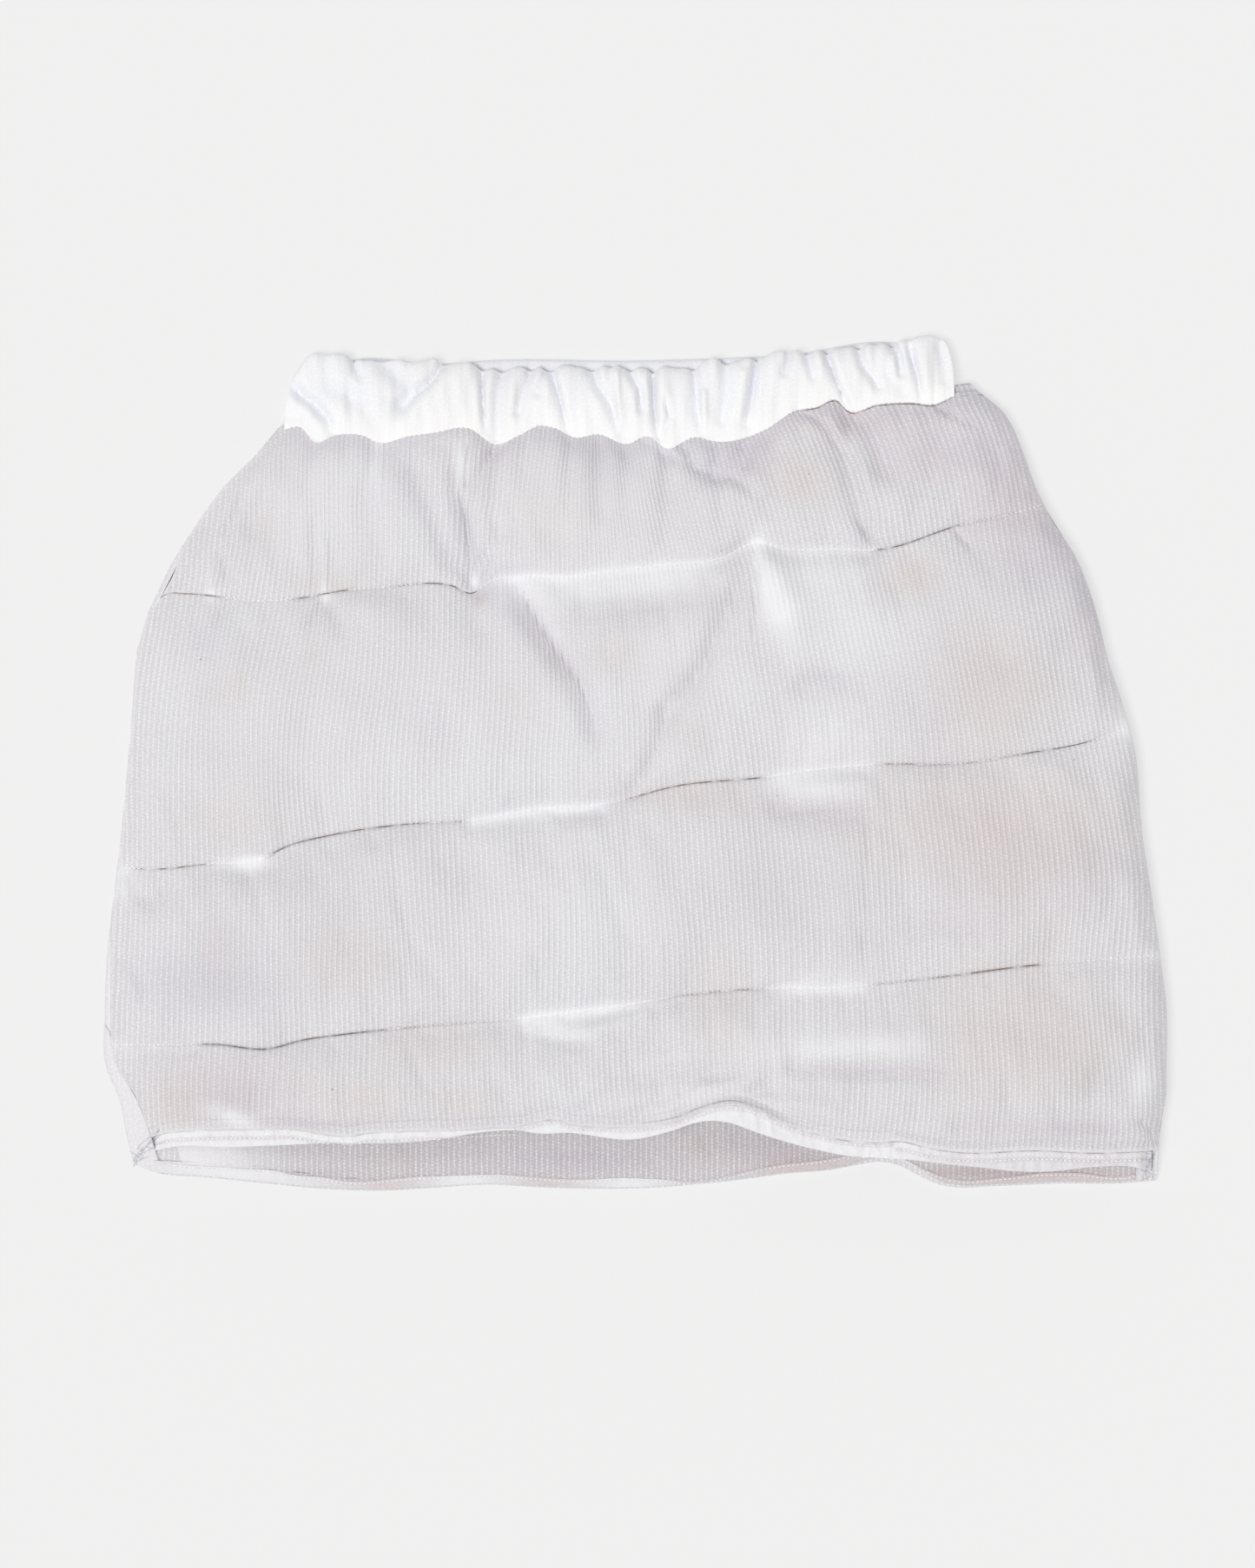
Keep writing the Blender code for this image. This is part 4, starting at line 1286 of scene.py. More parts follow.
LIGHT_PATCHES = patches(
    (61, 102, 3.2, 7, 0.8), (65.5, 89, 6.5, 9, 0.8, 10), (71.5, 75, 11, 9.5, 0.8),
    (-41, 66, 14, 3, 0.5, -52), (88, -11, 24, 6, 0.4), (-41, -131, 20, 6, 0.45),
    (95, -105, 24, 4, 0.35), (103, -139, 30, 6, 0.3), (-198, -175, 11, 4, 0.8, -20),
    (242, 20, 7, 9, 0.8), (250, -158, 6, 8, 0.7), (-253, -62, 6, 6, 0.5), (-190, -48, 8, 3, 0.9),
    (59.6, 109.5, 3.5, 2.5, 1.0), (-79.5, 90, 2.2, 4, 1.0), (10, 155, 12, 4, 0.5, -30),
    (110, 66, 26, 22, 0.35), (96, 10, 22, 18, 0.4), (-40, -75, 40, 26, 0.25),
    (60, -140, 30, 16, 0.2), (-209.5, 84, 3, 3, 0.8), (-153.5, 84, 2.4, 5, 0.7),
    (-127, 150, 3, 14, 0.4), (30, -165, 40, 8, 0.3), (-86, 148, 2.4, 12, 0.7),
    (-96, 160, 14, 4, 0.4), (-150, 132, 44, 36, 0.35), (-35, 122, 50, 24, 0.3),
    (20, 50, 30, 26, 0.3), (-150, 20, 90, 50, 0.12), (-30, 10, 60, 50, 0.15), (92, 94, 24, 10, 0.5),
)


@dataclass(frozen=True)
class FrontMarks:
    """The marks of the front: its ribs, the dark lines of its rows and hems (painted shadow in their
    grooves, partly dirt in the rows), and its tints, painted shade and painted light.

    A lens is the light that an open row throws on the channel below it: how far below, how wide,
    how strong, and from which x on it fades.
    """

    plan: SkirtPlan
    bands_from: float = 128.0
    band_line: float = 5.2
    band_closed: float = 0.4
    fold_line: float = 2.0
    fold_closed: float = 0.7
    fold_middle: float = 34.0
    fold_width: float = 60.0
    casing_line: float = 2.3
    casing_reach: float = 6.0
    casing_closed: float = 0.9
    casing_from: float = 78.0
    casing_fade: float = 8.0
    lenses: tuple[tuple[float, ...], ...] = (
        (7.0, 10.0, 0.85, 25.0), (1.5, 4.5, 0.5, 300.0), (1.0, 4.0, 0.55, 300.0),
    )
    lens_fade: float = 30.0
    row_light: float = 0.45
    row_light_below: float = 1.2
    row_light_reach: float = 2.2
    ridge_light: float = 0.25
    full_ridge: float = 2.0
    crease_shade: float = 0.4
    full_crease: float = 4.5
    waist_shade: float = 0.7
    waist_shade_below: float = 5.0
    waist_shade_reach: float = 7.0
    stitch_lane: float = 3.4
    stitch_lane_width: float = 1.1
    side_shade: float = 0.1
    upper_side_shade: float = 1.1
    upper_side_from: float = 20.0
    upper_side_fade: float = 60.0
    side_shade_reach: float = 14.0
    seam_fade: float = 1.5
    hem_position: float = 4.95
    hem_sharpness: float = 5.0

    def hem_and_casing(self, x: Array, y: Array) -> tuple[Array, Array]:
        """Find the painted shadow line in the hem's groove, and under the casing the painted line of its
        shadow.

        Args:
            x: Places across the skirt.
            y: Places along the skirt.

        Returns:
            The distance from the line, and how dark it is.
        """
        plan, banded = self.plan, x >= self.bands_from
        away = y - plan.front_hem.at(x) - np.where(banded, self.band_line, self.fold_line)
        turned = self.fold_closed * bell(x - self.fold_middle, self.fold_width)
        closed = np.where(banded, self.band_closed, turned)
        from_casing = y - plan.waist.at(x) + self.casing_line
        at_waist = np.abs(from_casing) < self.casing_reach
        shadow = self.casing_closed * smooth_step((x - self.casing_from) / self.casing_fade)
        return np.where(at_waist, from_casing, away), np.where(at_waist, shadow, closed)

    def shade(self, x: Array, y: Array, depth: Array) -> Array:
        """Find the painted shade: in creases, below the waist, in the lane of the hem stitches, along the
        right side and in the shade patches.

        Args:
            x: Places across the skirt.
            y: Places along the skirt.
            depth: Depths of the creases.

        Returns:
            Strengths of the shade.
        """
        below_waist = self.plan.waist.at(x) - y - self.waist_shade_below
        edge = y - self.plan.front_hem.at(x)
        side = np.exp(-(self.plan.right.at(y) - x) / self.side_shade_reach)
        upper = smooth_step((y - self.upper_side_from) / self.upper_side_fade)
        return (
            patched(SHADE_PATCHES, x, y)
            + self.waist_shade * bell(below_waist, self.waist_shade_reach)
            + self.crease_shade * unit(depth / self.full_crease)
            + (x > self.bands_from) * bell(edge - self.stitch_lane, self.stitch_lane_width)
            + (self.side_shade + self.upper_side_shade * upper) * side
        )

    def marks(self, x: Array, y: Array, position: Array, depth: Array) -> dict[Trace, Array]:
        """Mark the front.

        Args:
            x: Places across the skirt.
            y: Places along the skirt.
            position: Channel positions.
            depth: Depths of the creases.

        Returns:
            The marks of each kind.
        """
        from_row, closed = self.hem_and_casing(x, y)
        light = patched(LIGHT_PATCHES, x, y) + self.ridge_light * unit(-depth / self.full_ridge)
        for row, (below, reach, strength, fades_from) in zip(self.plan.rows, self.lenses):
            away = y - row.path.at(x)
            openness = row.openness.at(x)
            nearer = np.abs(away) < np.abs(from_row)
            from_row = np.where(nearer, away, from_row)
            closed = np.where(nearer, 1 - openness, closed)
            strength = strength * (1 - smooth_step((x - fades_from) / self.lens_fade))
            light = light + strength * openness**3 * bell(away + below, reach)
            beside = bell(away + self.row_light_below, self.row_light_reach)
            light = light + self.row_light * openness**2 * beside
        above_hem = smooth_step((self.hem_position - position) * self.hem_sharpness)
        return {
            Trace.RIBS: smooth_step(self.plan.from_side(x, y) / self.seam_fade) * above_hem,
            Trace.FROM_ROW: from_row,
            Trace.CLOSED: closed,
            Trace.SOIL: unit(patched(STAINS, x, y)),
            Trace.WARMTH: unit(patched(WARM_PATCHES, x, y)),
            Trace.SHADE: unit(self.shade(x, y, depth)),
            Trace.LIGHT: unit(light),
        }


@dataclass
class BackShell:
    """The padded back: flat on the floor, folded round onto the front along the left edge."""

    plan: SkirtPlan
    front: FrontShell
    edge_rounding: float = 9.0
    edge_lift: float = 6.0
    fold_gap: float = 0.06
    fold_step: float = 0.03
    fold_fall: float = 9.0
    fold_end: float = 1.0
    shell_wall: float = 2.6
    row_steps: int = 6
    hem_taper: tuple[float, ...] = (14.0, 9.0, 5.0, 2.6, 1.2, 0.4, 0.0)
    fold_parts: tuple[float, ...] = (0.0, 0.04, 0.12, 0.25, 0.4, 0.6, 0.8, 0.93, 1.0)
    flat_columns: int = 300
    edge_parts: tuple[float, ...] = (0.2, 0.45, 0.65, 0.8, 0.9, 0.97, 1.0)
    row_clearance: float = 1.5
    fold_ribs: float = 0.3
    fold_light: float = 0.2
    fold_shade: float = 0.25
    least_strip: float = 1.0
    fold_roundness: float = 2.5

    def positions(self) -> Array:
        """List the channel positions of the rows above the hem's taper."""
        return np.append(np.arange(0.0, 4.0, 1 / self.row_steps), [4.0, 5.0])

    def row_y(self, x: Array, row: Array) -> Array:
        """Find the y of a row of the back.

        Args:
            x: Places across the skirt.
            row: Row numbers.

        Returns:
            The y of each point.
        """
        positions = self.positions()
        count, hem = len(positions), self.plan.back_hem.at(x)
        position = np.take(positions, np.minimum(row, count - 1)) + 0.0 * x
        clear = hem + self.hem_taper[0] + self.row_clearance * (count - row)
        under_front = np.maximum(self.plan.front_y(x, position), clear)
        step = np.clip(row - count, 0, len(self.hem_taper) - 1)
        return np.where(row < count, under_front, hem + np.take(self.hem_taper, step))

    def net(self) -> tuple[Array, Array]:
        """Lay out the plan points of the back.

        Returns:
            The points' x and y.
        """
        plan, fold, edge = self.plan, len(self.fold_parts), len(self.edge_parts)
        columns = np.arange(fold + self.flat_columns + edge)
        column, row = np.meshgrid(columns, np.arange(len(self.positions()) + len(self.hem_taper)))
        fold_part = np.take(self.fold_parts, np.minimum(column, fold - 1))
        flat_part = unit((column - fold) / (self.flat_columns - 1))
        edge_step = np.clip(column - fold - self.flat_columns, 0, edge - 1)
        edge_part = np.take(self.edge_parts, edge_step)
        x = plan.half_width * (2 * column / columns[-1] - 1)
        for _ in range(SETTLING_STEPS):
            y = self.row_y(x, row)
            left, right = plan.left.at(y), plan.right.at(y)
            seam = plan.seam_x(y)
            flat_end = right - self.edge_rounding
            on_fold = left + (seam - self.fold_gap - left) * fold_part
            on_flat = seam - self.fold_step + (flat_end - seam + self.fold_step) * flat_part
            on_edge = flat_end + self.edge_rounding * edge_part
            on_rest = np.where(column < fold + self.flat_columns, on_flat, on_edge)
            x = np.where(column < fold, on_fold, on_rest)
        return x, self.row_y(x, row)

    def bottom(self, x: Array, y: Array) -> Array:
        """Find the underside: flat on the floor, rounded up to both edges.

        Args:
            x: Places across the skirt.
            y: Places along the skirt.

        Returns:
            Heights in millimetres.
        """
        plan = self.plan
        inward = np.minimum(x - plan.left.at(y), plan.right.at(y) - x)
        round_part = unit(1 - inward / self.edge_rounding)
        lift = np.maximum(np.minimum(self.edge_lift, plan.back_top(x, y) - self.shell_wall), 0.0)
        return lift * (1 - np.sqrt(1 - round_part**2))

    def fold_top(self, x: Array, y: Array) -> Array:
        """Find the top of the fold beside the front, level with the front at the seam.

        Args:
            x: Places across the skirt.
            y: Places along the skirt.

        Returns:
            Heights in millimetres.
        """
        plan = self.plan
        seam = plan.seam_x(y)
        hem = plan.front_hem.at(seam)
        fallen = smooth_step((hem - y) / self.fold_fall)
        at_seam = self.front.top(seam, np.maximum(y, hem)) - plan.seam_gap
        at_seam = at_seam + fallen * (plan.back_top(seam, y) + self.fold_end - at_seam)
        part = unit((seam - x) / np.maximum(seam - plan.left.at(y), 0.1))
        at_edge = plan.back_top(x, y) - 1.0
        rounded = np.sqrt(1 - part**self.fold_roundness)
        return at_edge + self.shown(y) * (at_seam - at_edge) * rounded

    def shown(self, y: Array) -> Array:
        """Find how fully the fold shows beside the front."""
        return smooth_step((self.plan.strip.at(y) - self.least_strip) / self.plan.strip_shown)

    def build(self, finish: Material) -> Piece:
        """Build the back and dress it.

        Args:
            finish: The piece's material.

        Returns:
            The shell.
        """
        x, y = self.net()
        top = self.plan.back_top(x, y)
        fold = len(self.fold_parts)
        top[:, :fold] = self.fold_top(x, y)[:, :fold]
        plain = np.zeros_like(x)
        plain[:, :fold] = self.shown(y)[:, :fold]
        wall = ClothWall(
            "back_shell", x, y, top, x, y, self.bottom(x, y),
            marks={
                Trace.RIBS: 1 - (1 - self.fold_ribs) * plain,
                Trace.LIGHT: self.fold_light * plain,
                Trace.SHADE: self.fold_shade * plain,
            },
        )
        piece = dress(wall, "back_panel", Slot.SHELL, finish)
        return piece


HEM_WARMTH = patches((-100, -184, 20, 6, 0.3), (200, -197, 40, 6, 0.15))
MOUTH_WARMTH = patches(
    (33, -190, 12, 9, 0.6), (-128, -209, 16, 4, 0.7), (-44, -208, 16, 4, 0.7),
    (190, -204, 60, 8, 1.0), (85, -200, 30, 5, 0.9), (-120, -196, 20, 8, 0.3),
)
MOUTH_SHADE = patches(
    (-160, -203, 20, 3, 0.7), (-20, -198, 40, 6, 0.7), (60, -190, 20, 8, 0.8),
    (80, -194, 16, 5, 1.0), (-70, -195, 50, 9, 0.4), (180, -203, 50, 2, 1.0),
)


@dataclass
class FrontLining:
    """The front lining: its turned hem shows below the front's hem."""

    plan: SkirtPlan
    columns: int = 560
    margin: tuple[float, float] = (0.93, 0.985)
    start_width: float = 230.0
    hem_wall: float = 2.2
    hem_drop: float = 1.2
    rest: float = 0.15
    wall_share: float = 0.35
    ripple: Ripple = Ripple(seed=31, shortest=5.0, longest=18.0, stretch=2.0)
    hem_ripple: float = 0.8
    fold_above_hem: float = 2.0
    edge_line: float = 0.45
    edge_closed: tuple[float, float] = (0.55, 0.15)
    edge_closed_from: float = 50.0
    edge_closed_fade: float = 60.0
    lines_apart: float = 0.7
    stitch_line: float = 4.4
    stitched: float = 0.5
    unstitched_middle: float = 34.0
    unstitched_width: float = 90.0
    middle_stitch_line: float = 1.7
    middle: tuple[float, float] = (-60.0, 128.0)
    sewn_width: float = 1.0
    sewn_dimming: float = 0.6
    hem_ribs: float = 0.45
    hem_light: tuple[float, float] = (0.85, 0.35)
    hem_light_from: float = 120.0
    hem_light_fade: float = 40.0
    hem_shade: tuple[float, float] = (0.15, 0.45)
    hem_shade_scale: float = 1.7
    upper_positions: tuple[float, float, int] = (0.06, 4.0, 24)
    hem_parts: tuple[float, ...] = (
        0.0, 0.05, 0.1, 0.14, 0.18, 0.22, 0.26, 0.3, 0.35, 0.4, 0.45, 0.5, 0.55, 0.6, 0.65, 0.7,
        0.76, 0.82, 0.88, 0.93, 0.97, 0.99, 1.0,
    )

    def net(self) -> tuple[Array, Array, Array]:
        """Lay out the plan points of the lining.

        Returns:
            The points' x and y, and how far into the turned hem each row lies, 0 above it.
        """
        plan = self.plan
        upper = np.linspace(*self.upper_positions)
        across, position = np.meshgrid(np.linspace(-1.0, 1.0, self.columns), upper)
        wide = smooth_step(position - self.upper_positions[1] + 1.0)
        across = across * (self.margin[0] + (self.margin[1] - self.margin[0]) * wide)
        x = plan.spread(across, position, self.start_width)
        parts = np.array(self.hem_parts)[:, None]
        hem_x = np.repeat(x[-1:], len(parts), axis=0)
        fold = plan.front_hem.at(hem_x) + self.fold_above_hem
        hem_y = fold + (plan.lining_edge.at(hem_x) - fold) * parts
        y = np.vstack([plan.front_y(x, position), hem_y])
        in_hem = np.vstack([0.0 * x, parts + 0.0 * hem_x + BARELY])
        return np.vstack([x, hem_x]), y, in_hem

    def surfaces(self, x: Array, y: Array, in_hem: Array) -> tuple[Array, Array]:
        """Find the lining's upper and lower faces, between the front and the back.

        Args:
            x: Places across the skirt.
            y: Places along the skirt.
            in_hem: How far into the turned hem each point lies, 0 above it.

        Returns:
            Heights of the upper and of the lower face.
        """
        plan = self.plan
        over = np.maximum(y, plan.front_hem.at(x))
        bottom = plan.front_bottom(x, over)
        room = bottom - plan.back_top(x, over)
        droop = self.hem_drop * (1 - np.sqrt(1 - unit(in_hem) ** 4))
        pulled = self.hem_ripple * np.clip(self.ripple.at(x, y), -1.0, 1.0) * (in_hem > 0)
        top = bottom - self.rest - droop - np.abs(pulled) * unit(4 * in_hem)
        wall = np.where(in_hem > 0, self.hem_wall, plan.lining_wall) - 0.5 * droop
        return top, top - np.minimum(wall, self.wall_share * room)

    def marks(self, x: Array, y: Array, hem: Array) -> dict[Trace, Array]:
        """Mark the turned hem: a painted shadow line along its edge, under the shell's hem, painted shade
        in its stitch lane, its painted light and shade, and its tints.

        Args:
            x: Places across the skirt.
            y: Places along the skirt.
            hem: 1 in the turned hem and 0 above it.

        Returns:
            The marks of each kind.
        """
        below = y - self.plan.front_hem.at(x)
        from_middle = below + (self.edge_line + self.stitch_line) / 2
        near_edge = from_middle > 0
        start, more = self.edge_closed
        at_edge = start + more * smooth_step((x - self.edge_closed_from) / self.edge_closed_fade)
        at_stitches = self.stitched * (1 - bell(x - self.unstitched_middle, self.unstitched_width))
        in_middle = (x > self.middle[0]) & (x < self.middle[1])
        sewn_line = np.where(in_middle, self.middle_stitch_line, self.stitch_line)
        sewn = bell(below + sewn_line, self.sewn_width)
        full, less = self.hem_light
        light = full - less * smooth_step((x - self.hem_light_from) / self.hem_light_fade)
        even, uneven = self.hem_shade
        ripples = self.ripple.at(self.hem_shade_scale * x, self.hem_shade_scale * y)
        closed = np.where(near_edge, at_edge, at_stitches)
        return {
            Trace.RIBS: 1 - (1 - self.hem_ribs) * hem,
            Trace.LIGHT: hem * light * (1 - self.sewn_dimming * sewn),
            Trace.SHADE: hem * unit(even + uneven * ripples + sewn),
            Trace.WARMTH: hem * patched(HEM_WARMTH, x, y),
            Trace.FROM_ROW: below + np.where(near_edge, self.edge_line, self.stitch_line),
            Trace.CLOSED: hem * (1 - bell(from_middle, self.lines_apart)) * closed,
        }

    def build(self, finish: Material) -> Piece:
        """Build the lining and dress it.

        Args:
            finish: The piece's material.

        Returns:
            The lining.
        """
        x, y, in_hem = self.net()
        top, bottom = self.surfaces(x, y, in_hem)
        wall = ClothWall(
            "front_lining_cloth", x, y, top, x, y, bottom, marks=self.marks(x, y, (in_hem > 0) * 1.0)
        )
        piece = dress(wall, "front_lining", Slot.LINING, finish)
        return piece


@dataclass
class BackLining:
    """The back lining: its inside shows in the mouth of the hem, above its own turned hem."""

    plan: SkirtPlan
    columns: int = 560
    rows: int = 64
    top_position: float = 0.06
    margin: float = 11.0
    start_width: float = 430.0
    row_crowding: float = 1.6
    open_from: float = 0.97
    fold_above_stitch: float = 0.2
    white_places: Points = ((-200.0, 52.0), (-84.0, 20.0), (-2.0, 24.0))
    dim_from: float = 35.0
    dim_fade: float = 20.0
    stitch_line: float = 0.9
    stitched: float = 0.5
    sewn_width: float = 0.9
    sewn_shade: float = 0.8
    corner_glow: tuple[float, float, float] = (-218.0, 36.0, 0.7)
    hem_light: tuple[float, float] = (0.05, 0.75)
    hem_shade: float = 0.3
    hem_ribs: float = 0.2
    least_ribs: float = 0.25
    ribs_from: float = -215.0
    ribs_fade: float = 40.0
    rest: float = 0.2
    wall: float = 0.9
    hem_wall: float = 1.35
    ripple: Ripple = Ripple(seed=37, shortest=5.0, longest=20.0, stretch=2.0)
    hem_ripple: float = 0.25
    hem_parts: tuple[float, ...] = (0.0, 0.04, 0.14, 0.3, 0.5, 0.7, 0.85, 0.95, 1.0)
    hem_inset: Line = steps(
        (-250, 0.6), (105, 0.6), (118, 2.0), (125, 4.2), (132, 4.9), (139, 4.1), (145, 3.0),
        (153, 1.6), (170, 1.0), (258, 1.0),
    )

    def net(self) -> tuple[Array, Array, Array]:
        """Lay out the plan points of the lining.

        Returns:
            The points' x and y, and how far into the turned hem each row lies, 0 above it.
        """
        plan = self.plan
        part = np.linspace(0.0, 1.0, self.rows)[:, None]
        across = np.linspace(0.0, 1.0, self.columns)[None]
        x = self.start_width * (across - 0.5) + 0.0 * part
        for _ in range(SETTLING_STEPS):
            top_y = plan.front_y(x, np.full_like(x, self.top_position))
            low_y = plan.back_stitch.at(x)
            y = top_y + (low_y - top_y) * (1 - (1 - part) ** self.row_crowding)
            left, right = plan.seam_x(y) + self.margin, plan.right.at(y) - self.margin
            left = np.where(part > self.open_from, plan.left.at(y) + self.margin, left)
            x = left + (right - left) * across
        parts = np.array(self.hem_parts)[:, None]
        hem_x = np.repeat(x[-1:], len(parts), axis=0)
        fold = plan.back_stitch.at(hem_x) + self.fold_above_stitch
        low = plan.back_hem.at(hem_x) + self.hem_inset.at(hem_x)
        in_hem = np.vstack([0.0 * x, parts + 0.0 * hem_x + BARELY])
        return np.vstack([x, hem_x]), np.vstack([y, fold + (low - fold) * parts]), in_hem

    def marks(self, x: Array, y: Array, hem: Array) -> dict[Trace, Array]:
        """Mark the mouth and the turned hem: ribs, painted shade in the mouth and the stitch lane, painted
        light at the left corner and on the hem (partly whiter cloth), and tints.

        Args:
            x: Places across the skirt.
            y: Places along the skirt.
            hem: 1 in the turned hem and 0 above it.

        Returns:
            The marks of each kind.
        """
        white = np.minimum(sum(bell(x - middle, width) for middle, width in self.white_places), 1.0)
        left_part = 1 - smooth_step((x - self.dim_from) / self.dim_fade)
        from_stitches = y - self.plan.back_stitch.at(x) + self.stitch_line
        corner, width, corner_light = self.corner_glow
        low, more = self.hem_light
        ribs_left = smooth_step((x - self.ribs_from) / self.ribs_fade)
        shade = patched(MOUTH_SHADE, x, y) * (1 - hem) + hem * self.hem_shade * (1 - white)
        return {
            Trace.RIBS: (1 - (1 - self.hem_ribs) * hem)
            * (self.least_ribs + (1 - self.least_ribs) * ribs_left),
            Trace.LIGHT: corner_light * (1 - hem) * bell(x - corner, width)
            + hem * (low + more * white) * left_part,
            Trace.WARMTH: unit(patched(MOUTH_WARMTH, x, y)),
            Trace.SHADE: unit(shade + self.sewn_shade * bell(from_stitches, self.sewn_width)),
            Trace.FROM_ROW: from_stitches,
            Trace.CLOSED: self.stitched * hem,
        }

    def build(self, finish: Material) -> Piece:
        """Build the lining and dress it.

        Args:
            finish: The piece's material.

        Returns:
            The lining.
        """
        x, y, in_hem = self.net()
        bottom = self.plan.back_top(x, y) + self.rest
        rounding = np.sqrt(1 - unit(in_hem) ** 4) * 0.5 + 0.5
        thick = np.where(in_hem > 0, self.hem_wall * rounding, self.wall)
        thick = thick + self.hem_ripple * np.clip(self.ripple.at(x, y), -1.0, 1.0)
        wall = ClothWall(
            "back_lining_cloth", x, y, bottom + thick, x, y, bottom,
            marks=self.marks(x, y, (in_hem > 0) * 1.0),
        )
        piece = dress(wall, "back_lining", Slot.LINING, finish)
        return piece


@dataclass
class Waistband:
    """The gathered elastic casing: two halves that lie on each other."""

    plan: SkirtPlan
    front: FrontShell
    left: float = -174.0
    right: float = 158.0
    narrowing: float = 5.0
    top_line: Line = line(
        (-173.9, 185.8), (-170.9, 192.6), (-168.3, 194.4), (-163.2, 201.2), (-152, 203.4),
        (-142.5, 203), (-133.9, 200.4), (-118, 201.6), (-108.1, 199.6), (-99.5, 202.1),
        (-90.9, 198.7), (-84, 199.4), (-73.7, 196.9), (-56.5, 197.8), (-39.3, 197.4),
        (-13.5, 196.9), (12.3, 196.5), (29.5, 197.8), (38.1, 201.2), (46.7, 199.5),
        (63.9, 203), (72.5, 205.5), (89.7, 205.1), (106.9, 207.3), (124.1, 209),
        (141.3, 212), (149.9, 212.5), (154.2, 210.7), (156.7, 206.4), (158, 201.2),
    )
    back_top_line: Line = line(
        (-172, 184), (-150, 198), (-95, 199), (-72, 200.6), (0, 200.4), (40, 201.5), (72, 203),
        (140, 207), (156, 200),
    )
    columns: int = 640
    back_columns: int = 200
    row_count: int = 48
    overlap: float = 1.4
    rest: float = 0.12
    lip_width: float = 4.8
    lip_wall: float = 0.8
    underside: float = 6.8
    top_wall: float = 2.4
    full_height: float = 16.6
    crown_width: float = 13.0
    back_wall: float = 6.2
    back_parts: tuple[float, ...] = (1.0, 0.98, 0.93, 0.8, 0.5, 0.2, 0.05, 0.0)
    back_fall_from: float = 0.8
    back_edge: float = 0.45
    back_folds: tuple[float, float] = (-0.4, 1.5)
    back_least: float = 2.0
    back_shade: float = 0.8
    end_roundness: float = 10.0
    frill: float = 0.75
    fold_depth: float = 2.1
    frill_line: float = 2.0
    frill_folds: tuple[float, float] = (-1.0, 4.0)
    edge_rise: float = 24.0
    crown_power: float = 2.2
    fall_from: float = 0.6
    fall_power: float = 2.4
    flat_fold: float = 0.35
    full_room: float = 4.0
    least_wall: float = 0.5
    glow: tuple[float, float] = (0.25, 0.65)
    glow_height: float = 17.0
    glow_wave: float = 0.1
    glow_wave_length: float = 7.0
    fold_shade: float = 0.2
    upper_shade: float = 0.3
    upper_shade_from: float = 13.0
    upper_shade_fade: float = 10.0
    most_shade: float = 0.9
    ribs: float = 0.5
    ruffle: Ripple = Ripple(seed=17, shortest=5.0, longest=17.0, stretch=5.0)
    ruffle_depth: float = 0.6
    teeth: float = 0.35
    tooth_pitch: float = 2.3

    def net(self, columns: int, low_line: Edge, high_line: Edge, parts: Array) -> tuple[Array, Array]:
        """Lay out the plan points of a casing, from its upper edge down to its lower edge.

        Args:
            columns: Number of columns.
            low_line: The lower edge.
            high_line: The upper edge.
            parts: Parts of the way up, one for each row, from 1 to 0.

        Returns:
            The points' x and y.
        """
        across, part = np.meshgrid(np.linspace(0.0, 1.0, columns), parts)
        narrowing = self.narrowing * unit(2 * part - 1) ** 2
        left, right = self.left + narrowing, self.right - narrowing
        x = left + (right - left) * across
        low, high = low_line(x), high_line(x)
        return x, low + (high - low) * part

    def folds(self, x: Array, y: Array) -> Array:
        """Measure the depth of the gathers in the casing."""
        depth = self.fold_depth * creased(BAND_CREASES, x, y)
        return depth + self.ruffle_depth * self.ruffle.at(x, y)

    def build_front(self, finish: Material) -> Piece:
        """Build the front casing, whose lower edge laps over the front shell.

        Args:
            finish: The casing's cotton.

        Returns:
            The casing.
        """
        plan = self.plan
        parts = 0.5 + 0.5 * np.cos(math.pi * np.linspace(0.0, 1.0, self.row_count))

        def low_line(x: Array) -> Array:
            """Find the toothed lower edge."""
            tooth = self.teeth * np.abs(np.sin(math.pi * x / self.tooth_pitch))
            return plan.waist.at(x) - self.overlap - tooth

        def high_line(x: Array) -> Array:
            """Find the frilled upper edge."""
            high = self.top_line.at(x)
            return high - self.frill * np.clip(self.folds(x, high - self.frill_line), *self.frill_folds)

        x, y = self.net(self.columns, low_line, high_line, parts)
        part = np.repeat(parts[:, None], self.columns, axis=1)
        above = y - low_line(x)
        on_lip = above < self.lip_width
        shell_top = self.front.top(x, np.minimum(y, plan.waist.at(x) + plan.tongue_width))
        bottom = np.where(on_lip, shell_top + self.rest, self.underside)
        low_edge = self.front.top(x, low_line(x)) + self.rest + self.lip_wall
        high_edge = self.underside + self.top_wall
        edge = low_edge + (high_edge - low_edge) * smooth_step(above / self.edge_rise)
        rise = unit(above / self.crown_width)
        crown = np.sqrt(unit(1 - (1 - rise) ** self.crown_power))
        fall = np.sqrt(1 - unit((part - self.fall_from) / (1 - self.fall_from)) ** self.fall_power)
        half = (self.right - self.left) / 2
        side = unit(np.abs(x - self.left - half) / half)
        rounded = (1 - side**self.end_roundness) ** 0.5
        room = np.maximum(self.full_height - edge, 0.0) * crown * fall * rounded
        folds = self.folds(x, y)
        pulled = folds * (self.flat_fold + (1 - self.flat_fold) * unit(room / self.full_room))
        top = np.maximum(edge + room - pulled, bottom + self.least_wall)
